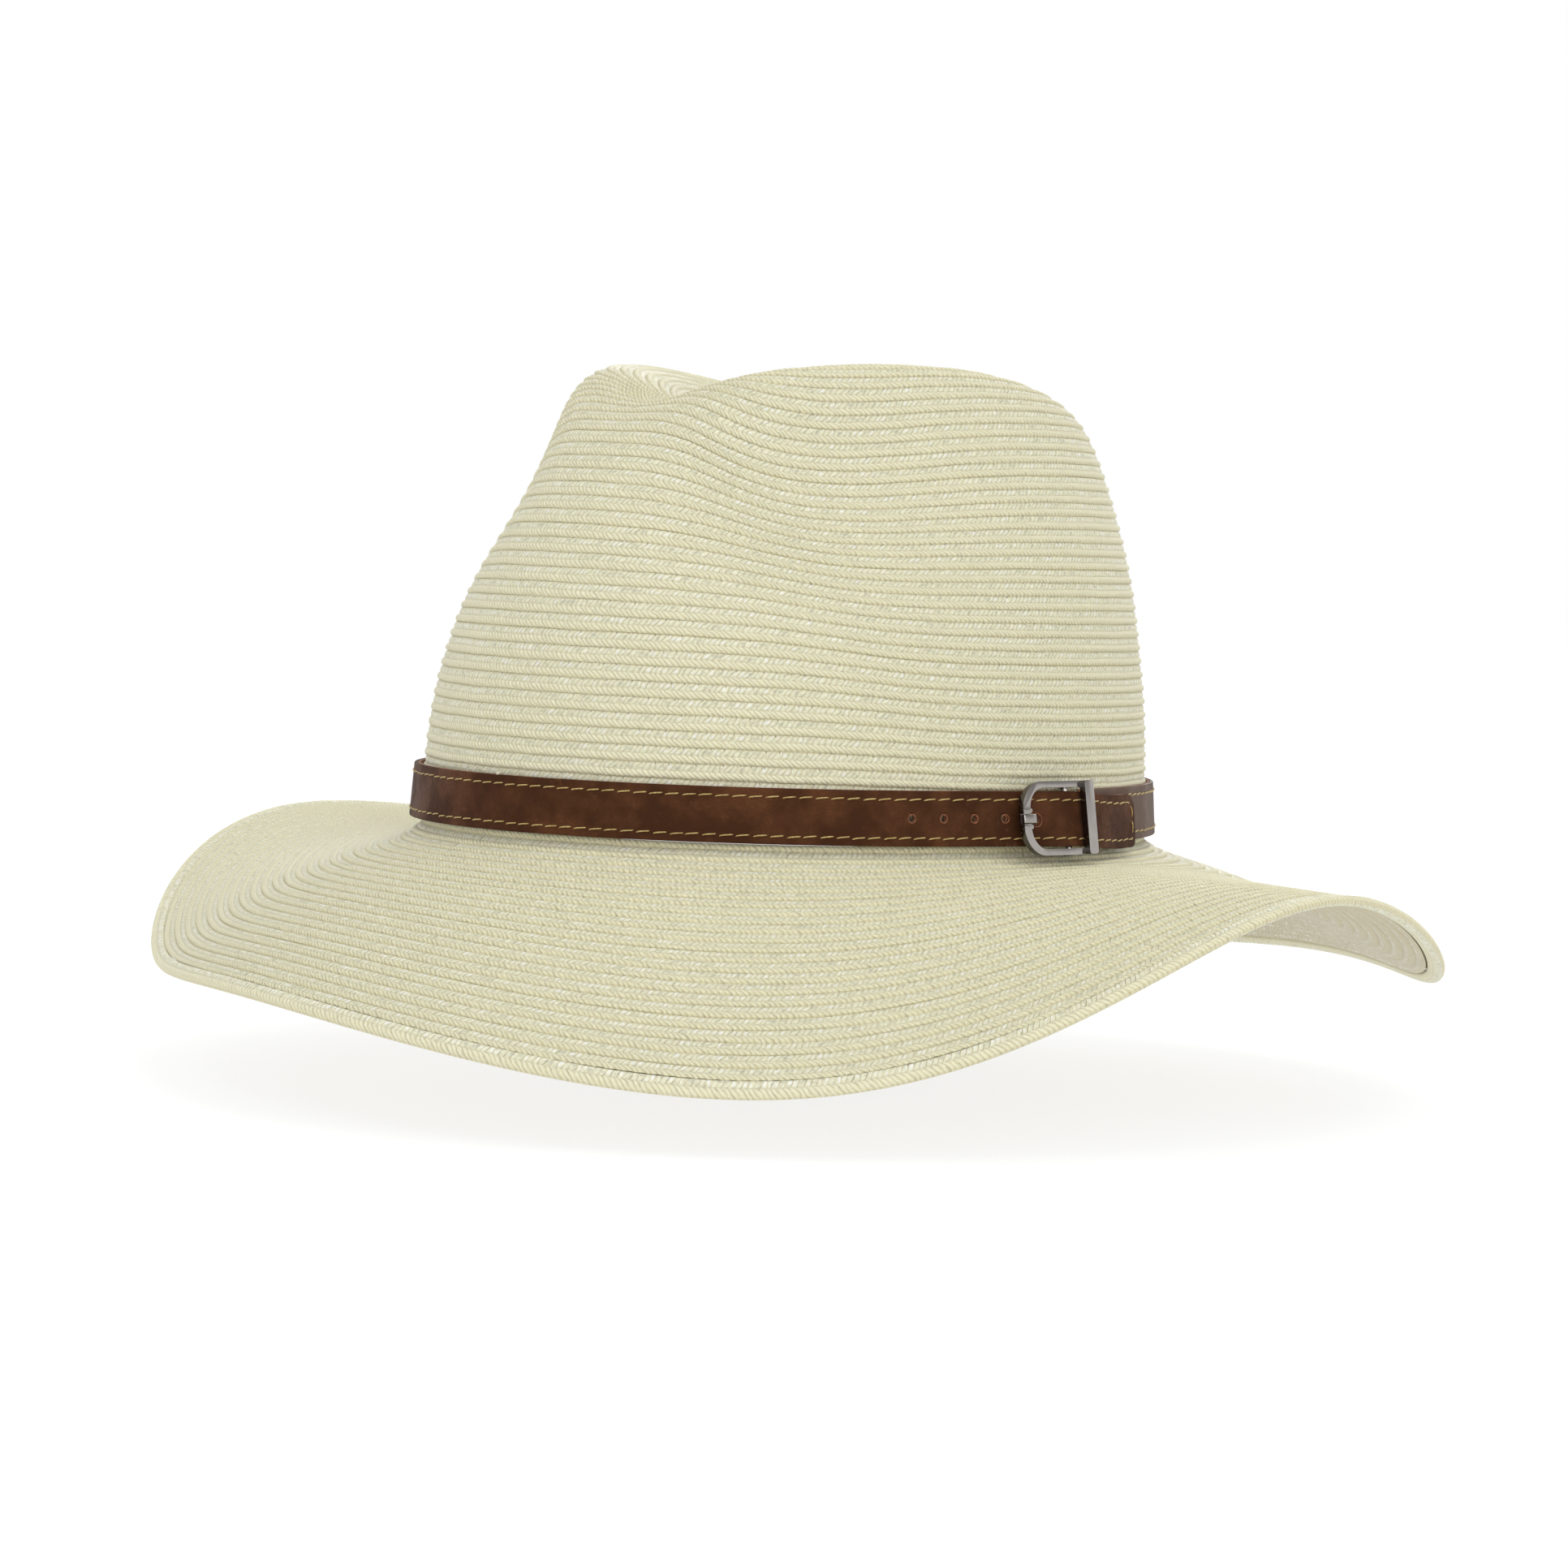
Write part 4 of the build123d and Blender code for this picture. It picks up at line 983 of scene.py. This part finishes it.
def stitch_mesh(name, paths, radius, material, replaced):
    """Short sunk stitches: each path is a row of points in mm."""
    points, faces = [], []
    angles = ROUND_TURN * np.arange(THREAD_SIDES) / THREAD_SIDES
    for path in paths:
        path = np.array(path)
        along = unit(np.gradient(path, axis=0))
        side = unit(np.cross(along, [0.0, 0.0, 1.0]))
        lift = np.cross(side, along)
        taper = np.sqrt(np.maximum(1 - (2 * np.linspace(0, 1, len(path)) - 1) ** 6, 0.12))
        ring = np.cos(angles)[:, None] * side[:, None] + np.sin(angles)[:, None] * lift[:, None]
        rings = path[:, None] + radius * taper[:, None, None] * ring
        faces.append(tube_faces(len(path), THREAD_SIDES, False) + sum(len(part) for part in points))
        points.append(rings.reshape(-1, 3))
    mesh = mesh_from_arrays(name, np.concatenate(points), np.concatenate(faces))
    shape = bmesh.new()
    shape.from_mesh(mesh)
    bmesh.ops.holes_fill(shape, edges=[edge for edge in shape.edges if edge.is_boundary], sides=0)
    for face in shape.faces:
        face.smooth = True
    write_shape(shape, mesh)
    mount(new_object(name, mesh, [material]), replaced)


def belt_stitches():
    """Stitches along both edges and round the belt's end."""
    random = np.random.default_rng(SEED + 3)
    arch = np.linspace(0, 1, 9)
    sunk = THREAD * (0.32 - 0.75 * np.abs(2 * arch - 1) ** 5)

    def stitch(distance, height, slant):
        start = distance + 0.1 * random.standard_normal()
        d = start + BELT_STITCH_SEEN * (arch - 0.5)
        h = height + slant * (arch - 0.5) - 0.3 * np.exp(-arch / 0.12) + 0.05 * random.standard_normal()
        return belt_surface(d, SURFACE_DEPTH + sunk, h)

    bottom, top = BELT_BOTTOM + STITCH_MARGIN, BELT_BOTTOM + BELT_WIDTH - STITCH_MARGIN
    last = BELT_END - 6.0
    places = np.arange(STRAP_START + 4.0, last, BELT_STITCH)
    upper = [stitch(place, top, 0.28) for place in places]
    lower = [stitch(place + 1.3, bottom, 0.28) for place in places]
    stitch_mesh("belt_upper_stitches", upper, THREAD / 2, BELT_THREAD, "belt_stitching_upper")
    stitch_mesh("belt_lower_stitches", lower, THREAD / 2, BELT_THREAD, "belt_stitching_lower")

    # the line turns down inside the rounded end and comes back along the lower edge
    side = BELT_END - STITCH_MARGIN
    turn_radius = TIP_UPPER_RADIUS - STITCH_MARGIN + 0.8
    corner = [(last - 1.2, top), (side - turn_radius, top)]
    corner += [
        (side - turn_radius + turn_radius * math.sin(a), top - turn_radius + turn_radius * math.cos(a))
        for a in np.linspace(0.3, math.pi / 2, 6)
    ]
    low_radius = 1.0
    corner += [(side, bottom + low_radius), (side - 0.3 * low_radius, bottom + 0.3 * low_radius)]
    corner += [(side - low_radius, bottom), (last + 0.4, bottom)]
    corner = np.array(corner)
    run = running_total(np.linalg.norm(np.diff(corner, axis=0), axis=1))
    paths = []
    count = round(run[-1] / BELT_STITCH)
    for n in range(count):
        middle = run[-1] * (n + 0.5) / count
        s = middle + 0.8 * run[-1] / count * (arch - 0.5)
        paths.append(belt_surface(
            np.interp(s, run, corner[:, 0]), SURFACE_DEPTH + sunk, np.interp(s, run, corner[:, 1])
        ))
    stitch_mesh("belt_end_stitches", paths, THREAD / 2, BELT_THREAD, "belt_tip_stitching")


def hole_rims():
    """A thin pressed rim of raw leather round each hole."""
    paths = []
    for distance, drop, outline in hole_places():
        matrix = belt_matrix(distance, SURFACE_DEPTH)
        path = []
        for x, y in outline + outline[:2]:
            spot = matrix @ Vector((x * RIM_SWELL * METRES, (y * RIM_SWELL + drop) * METRES, 0.0))
            path.append(np.array(spot) / METRES)
        paths.append(np.array(path))
    stitch_mesh("belt_hole_rims", paths, RIM_RADIUS, RAW_EDGE, None)


def belt():
    """The strap's two plies, its stitches and the rims of its holes."""
    band_piece(
        "belt_leather", LINING_THICKNESS + 0.02, LEATHER_THICKNESS - 0.02, LEATHER_ROUNDING,
        [LEATHER, RAW_EDGE], "belt_strap", 0,
    )
    band_piece(
        "belt_flesh_side", 0.0, LINING_THICKNESS, LINING_ROUNDING,
        [SUEDE, RAW_EDGE], "belt_lining", 1,
    )
    belt_stitches()
    hole_rims()


# ------------------------------------------------------------------ sweatband and its trim
def band_point(turn, inward, height):
    """A point on the sweatband: inward from its outer face."""
    lean = BAND_SLOPE * (height - SWEATBAND_BOTTOM)
    x, y = oval_point(turn, BAND_OUTSIDE - inward - lean)
    return np.stack([x, y, height + 0 * x], -1)


def sweatband():
    """A folded band: soft rounded edges and a slight ripple along its free top edge."""
    count = BAND_STATIONS
    turn = ROUND_TURN * np.arange(count) / count
    half = SWEATBAND_THICKNESS / 2
    top = SWEATBAND_BOTTOM + SWEATBAND_HEIGHT
    arc = np.linspace(0, math.pi, 7)
    up_side = [(SWEATBAND_THICKNESS, h) for h in np.linspace(SWEATBAND_BOTTOM + half, top - half, 12)]
    over = [(half + half * math.cos(a), top - half + half * math.sin(a)) for a in arc[1:-1]]
    down_side = [(0.0, h) for h in np.linspace(top - half, SWEATBAND_BOTTOM + half, 12)]
    under = [(half - half * math.cos(a), SWEATBAND_BOTTOM + half - half * math.sin(a)) for a in arc[1:-1]]
    section = up_side + over + down_side + under
    inward, height = np.array(section).T
    ripple = 0.18 * waver((9, 13, 22), turn / ROUND_TURN, 1)
    rise = (height - SWEATBAND_BOTTOM) / SWEATBAND_HEIGHT
    points = band_point(turn[:, None], inward + ripple[:, None] * rise**2, height)
    walk = running_total(np.hypot(np.roll(inward, -1) - inward, np.roll(height, -1) - height))
    low, high = walk[:-1], walk[1:]
    here = ROUND * np.arange(count)[:, None] / count
    there = here + ROUND / count
    uvs = corner_uvs((here, low), (here, high), (there, high), (there, low))
    mesh = mesh_from_arrays("sweatband_tape", points, tube_faces(count, len(section), True), uvs)
    mount(new_object("sweatband_tape", mesh, [TAPE]), "sweatband")


def band_stitches():
    """A machine stitch that holds the sweatband in, just above its lower edge."""
    random = np.random.default_rng(SEED + 7)
    arch = np.linspace(0, 1, 7)
    sunk = 0.16 - 0.3 * np.abs(2 * arch - 1) ** 5
    paths = []
    count = round(ROUND / BAND_STITCH)
    for n in range(count):
        turn = ROUND_TURN * (n + 0.5 + 0.04 * random.standard_normal()) / count
        turns = turn + 0.8 * ROUND_TURN / count * (arch - 0.5)
        height = BAND_STITCH_UP + 0.12 * (arch - 0.5)
        paths.append(band_point(turns, SWEATBAND_THICKNESS + sunk, height))
    stitch_mesh(
        "sweatband_stitches", paths, BAND_THREAD / 2, PALE_THREAD, "sweatband_stitching"
    )


def patch(name, node, sizes, material):
    """A thin cloth patch that follows the sweatband's curve, with rounded edges."""
    turn_degrees, width, low, high, thickness = sizes
    columns, rows = 24, 16
    radius = (HALF_WIDTH + HALF_LENGTH) / 2
    turn = math.radians(turn_degrees) + width / radius * np.linspace(-0.5, 0.5, columns)
    height = np.linspace(low, high, rows)
    turns, heights = np.meshgrid(turn, height, indexing="ij")
    edge = np.minimum(
        np.minimum(turns - turn[0], turn[-1] - turns) * radius, np.minimum(heights - low, high - heights)
    )
    crown = smooth_step(edge / PATCH_CORNER + 0.25) * thickness
    front = band_point(turns, SWEATBAND_THICKNESS + PATCH_LIFT + crown, heights)
    back = band_point(turns, SWEATBAND_THICKNESS + PATCH_LIFT, heights)
    points = np.concatenate([front.reshape(-1, 3), back.reshape(-1, 3)])
    index = np.arange(columns * rows).reshape(columns, rows)
    quads = np.stack([index[:-1, :-1], index[:-1, 1:], index[1:, 1:], index[1:, :-1]], -1).reshape(-1, 4)
    rim = np.concatenate([index[:, 0], index[-1, 1:], index[::-1, -1][1:], index[0, ::-1][1:]])
    sides = np.stack([rim[:-1], rim[1:], rim[1:] + columns * rows, rim[:-1] + columns * rows], -1)
    faces = np.concatenate([quads, quads[:, ::-1] + columns * rows, sides])
    flat = np.stack([(turns - turn[0]).ravel() * radius, (heights - low).ravel()], -1)
    flat = np.concatenate([flat, flat])
    mesh = mesh_from_arrays(name, points, faces, flat[faces])
    shape = bmesh.new()
    shape.from_mesh(mesh)
    write_shape(shape, mesh)
    mount(new_object(name, mesh, [material]), node)


def band_trim():
    """The sweatband's stitches, its seam tab and the blank size label."""
    band_stitches()
    patch("sweatband_tab", "sweatband_seam_tab", SEAM_TAB, TAPE)
    patch("blank_size_label", "size_label", SIZE_LABEL, LABEL_CLOTH)


def tacks():
    """Three small thread tacks over the belt's top edge, of three strands each."""
    rise = np.linspace(0, 1, 9)
    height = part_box("belt_tacks")[1].z / METRES + 0.1 * np.sin(math.pi * rise) - 0.8 * rise**2
    paths = []
    for degrees in TACK_TURNS:
        for strand in TACK_STRANDS:
            turn = math.radians(degrees) + 2 * strand / (HALF_WIDTH + HALF_LENGTH)
            x, y = oval_point(turn, 0.2 + 1.6 * rise)
            paths.append(np.stack([x, y, height], -1))
    stitch_mesh("belt_thread_tacks", paths, TACK_THREAD / 2, PALE_THREAD, "belt_tacks")


# ------------------------------------------------------------------ buckle
FLAT_ANGLE, SHARP_ANGLE, CREASE_ANGLE = 1.5, 32.0, 28.0
FRAME_ROUNDING, TONGUE_ROUNDING = 0.42, 0.22


def rounded_metal(node, body, width, name):
    """The CAD piece with its flats joined up and its edges rounded."""
    shape = bmesh.new()
    shape.from_mesh(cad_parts[node].data)
    bmesh.ops.remove_doubles(shape, verts=shape.verts, dist=1e-6)
    bmesh.ops.dissolve_limit(
        shape, angle_limit=math.radians(FLAT_ANGLE), verts=shape.verts, edges=shape.edges
    )
    sharp = [
        edge for edge in shape.edges
        if len(edge.link_faces) == 2 and edge.calc_face_angle() > math.radians(SHARP_ANGLE)
    ]
    bmesh.ops.bevel(
        shape, geom=sharp, offset=width * METRES, segments=3, profile=0.55, affect="EDGES",
        clamp_overlap=True,
    )
    for face in shape.faces:
        face.smooth = True
    mesh = bpy.data.meshes.new(name)
    write_shape(shape, mesh)
    mesh.set_sharp_from_angle(angle=math.radians(CREASE_ANGLE))
    mount(new_object(name, mesh, [GUNMETAL]), node, body)


def buckle():
    """The polished frame and tongue, and the materials of the bar and the chape."""
    rounded_metal("buckle_frame", "buckle", FRAME_ROUNDING, "buckle_frame_polished")
    rounded_metal("buckle_tongue", "tongue", TONGUE_ROUNDING, "buckle_tongue_polished")
    for node, material in (("buckle_bar", GUNMETAL), ("buckle_chape", LEATHER)):
        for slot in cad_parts[node].material_slots:
            slot.material = material


# ------------------------------------------------------------------ floor, light and camera
FLOOR_HEIGHT, FLOOR_HALF = -0.069, 6.0
# soft darker and brighter fields of the studio: azimuth, elevation, radius, added brightness
FIELDS = [
    (135.0, 18.0, 4.0, 11.0, -0.5),
    (314.0, 46.0, 14.0, 36.0, -0.8),
    (136.0, 48.0, 10.0, 36.0, -0.65),
    (324.0, 23.0, 9.0, 15.0, -0.80),
    (80.0, 62.0, 12.0, 22.0, 1.2),
    (18.0, 52.0, 3.0, 6.0, 8.0),
    (100.0, 15.0, 3.0, 6.0, 10.0),
    (30.0, 16.0, 2.0, 5.0, 8.0),
    (191.0, 36.0, 4.0, 8.0, 6.0),
    (218.0, 15.0, 3.0, 7.0, 8.0),
]


def direction(azimuth, elevation):
    """The way out to a place round the hat, in degrees: azimuth 0 is the front, 90 the wearer's left."""
    turn, rise = math.radians(azimuth), math.radians(elevation)
    return Vector((math.sin(turn) * math.cos(rise), -math.cos(turn) * math.cos(rise), math.sin(rise)))


def studio():
    """A pale floor, a white surround with soft darker and brighter fields, and two lamps."""
    mesh = bpy.data.meshes.new("studio_floor")
    mesh.from_pydata(
        [(x * FLOOR_HALF, y * FLOOR_HALF, FLOOR_HEIGHT) for x, y in ((-1, -1), (1, -1), (1, 1), (-1, 1))],
        [], [(0, 1, 2, 3)],
    )
    n = MaterialNodes("studio_floor")
    n.shader.inputs["Specular IOR Level"].default_value = 0.0
    n.shader.inputs["Emission Color"].default_value = (1, 1, 1, 1)
    n.shader.inputs["Emission Strength"].default_value = 0.78
    floor = new_object("studio_floor", mesh, [n.finish(Base_Color=(0.26, 0.265, 0.275, 1), Roughness=1.0)])

    world = bpy.data.worlds.new("studio")
    world.use_nodes = True
    sky = Nodes(world.node_tree)
    outward = sky.add("ShaderNodeTexCoord").outputs["Generated"]
    strength = 1.0
    for azimuth, elevation, inner, outer, amount in FIELDS:
        low, high = math.cos(math.radians(outer)), math.cos(math.radians(inner))
        field = sky.ramp(sky.dot(outward, direction(azimuth, elevation)), low, high, 0.0, amount)
        strength = sky.plus(field, strength)
    background = world.node_tree.nodes["Background"]
    background.inputs["Color"].default_value = (1, 1, 1, 1)
    sky.link(strength, background.inputs["Strength"])
    bpy.context.scene.world = world
    bpy.context.scene.view_settings.view_transform = "Standard"

    for name, place, size, power in (
        ("key", (-0.6, -1.3, 1.5), 1.0, 4.5),
        ("top", (0.4, 0.1, 1.9), 1.2, 2.5),
    ):
        light = bpy.data.lights.new(name, "AREA")
        light.energy, light.size = power, size
        lamp = bpy.data.objects.new(name, light)
        lamp.location = place
        lamp.rotation_mode = "QUATERNION"
        lamp.rotation_quaternion = (-Vector(place)).to_track_quat("-Z", "Y")
        bpy.context.scene.collection.objects.link(lamp)


VIEW_AZIMUTH, VIEW_ELEVATION, VIEW_ROLL = 44.0, 3.3, 1.93
VIEW_DISTANCE = 1.3
SENSOR = 36.0
LENS = 113.35
SHIFT_RIGHT, SHIFT_UP = -0.0013, 0.0247


def camera():
    """Looks at the hat from its left front, a little tilted."""
    azimuth, roll = math.radians(VIEW_AZIMUTH), math.radians(VIEW_ROLL)
    back = direction(VIEW_AZIMUTH, VIEW_ELEVATION)
    right = Vector((math.cos(azimuth), math.sin(azimuth), 0))
    up = back.cross(right)
    rolled_right = math.cos(roll) * right + math.sin(roll) * up
    rolled_up = math.cos(roll) * up - math.sin(roll) * right
    data = bpy.data.cameras.new("camera")
    data.sensor_width = SENSOR
    data.lens = LENS
    data.shift_x, data.shift_y = SHIFT_RIGHT, SHIFT_UP
    data.clip_start, data.clip_end = 0.05, 20.0
    eye = bpy.data.objects.new("camera", data)
    matrix = Matrix((rolled_right, rolled_up, back)).transposed().to_4x4()
    matrix.translation = back * VIEW_DISTANCE
    eye.matrix_world = matrix
    bpy.context.scene.collection.objects.link(eye)
    bpy.context.scene.camera = eye


camera()
studio()
braid_body()
edge_row()
belt()
sweatband()
band_trim()
tacks()
buckle()
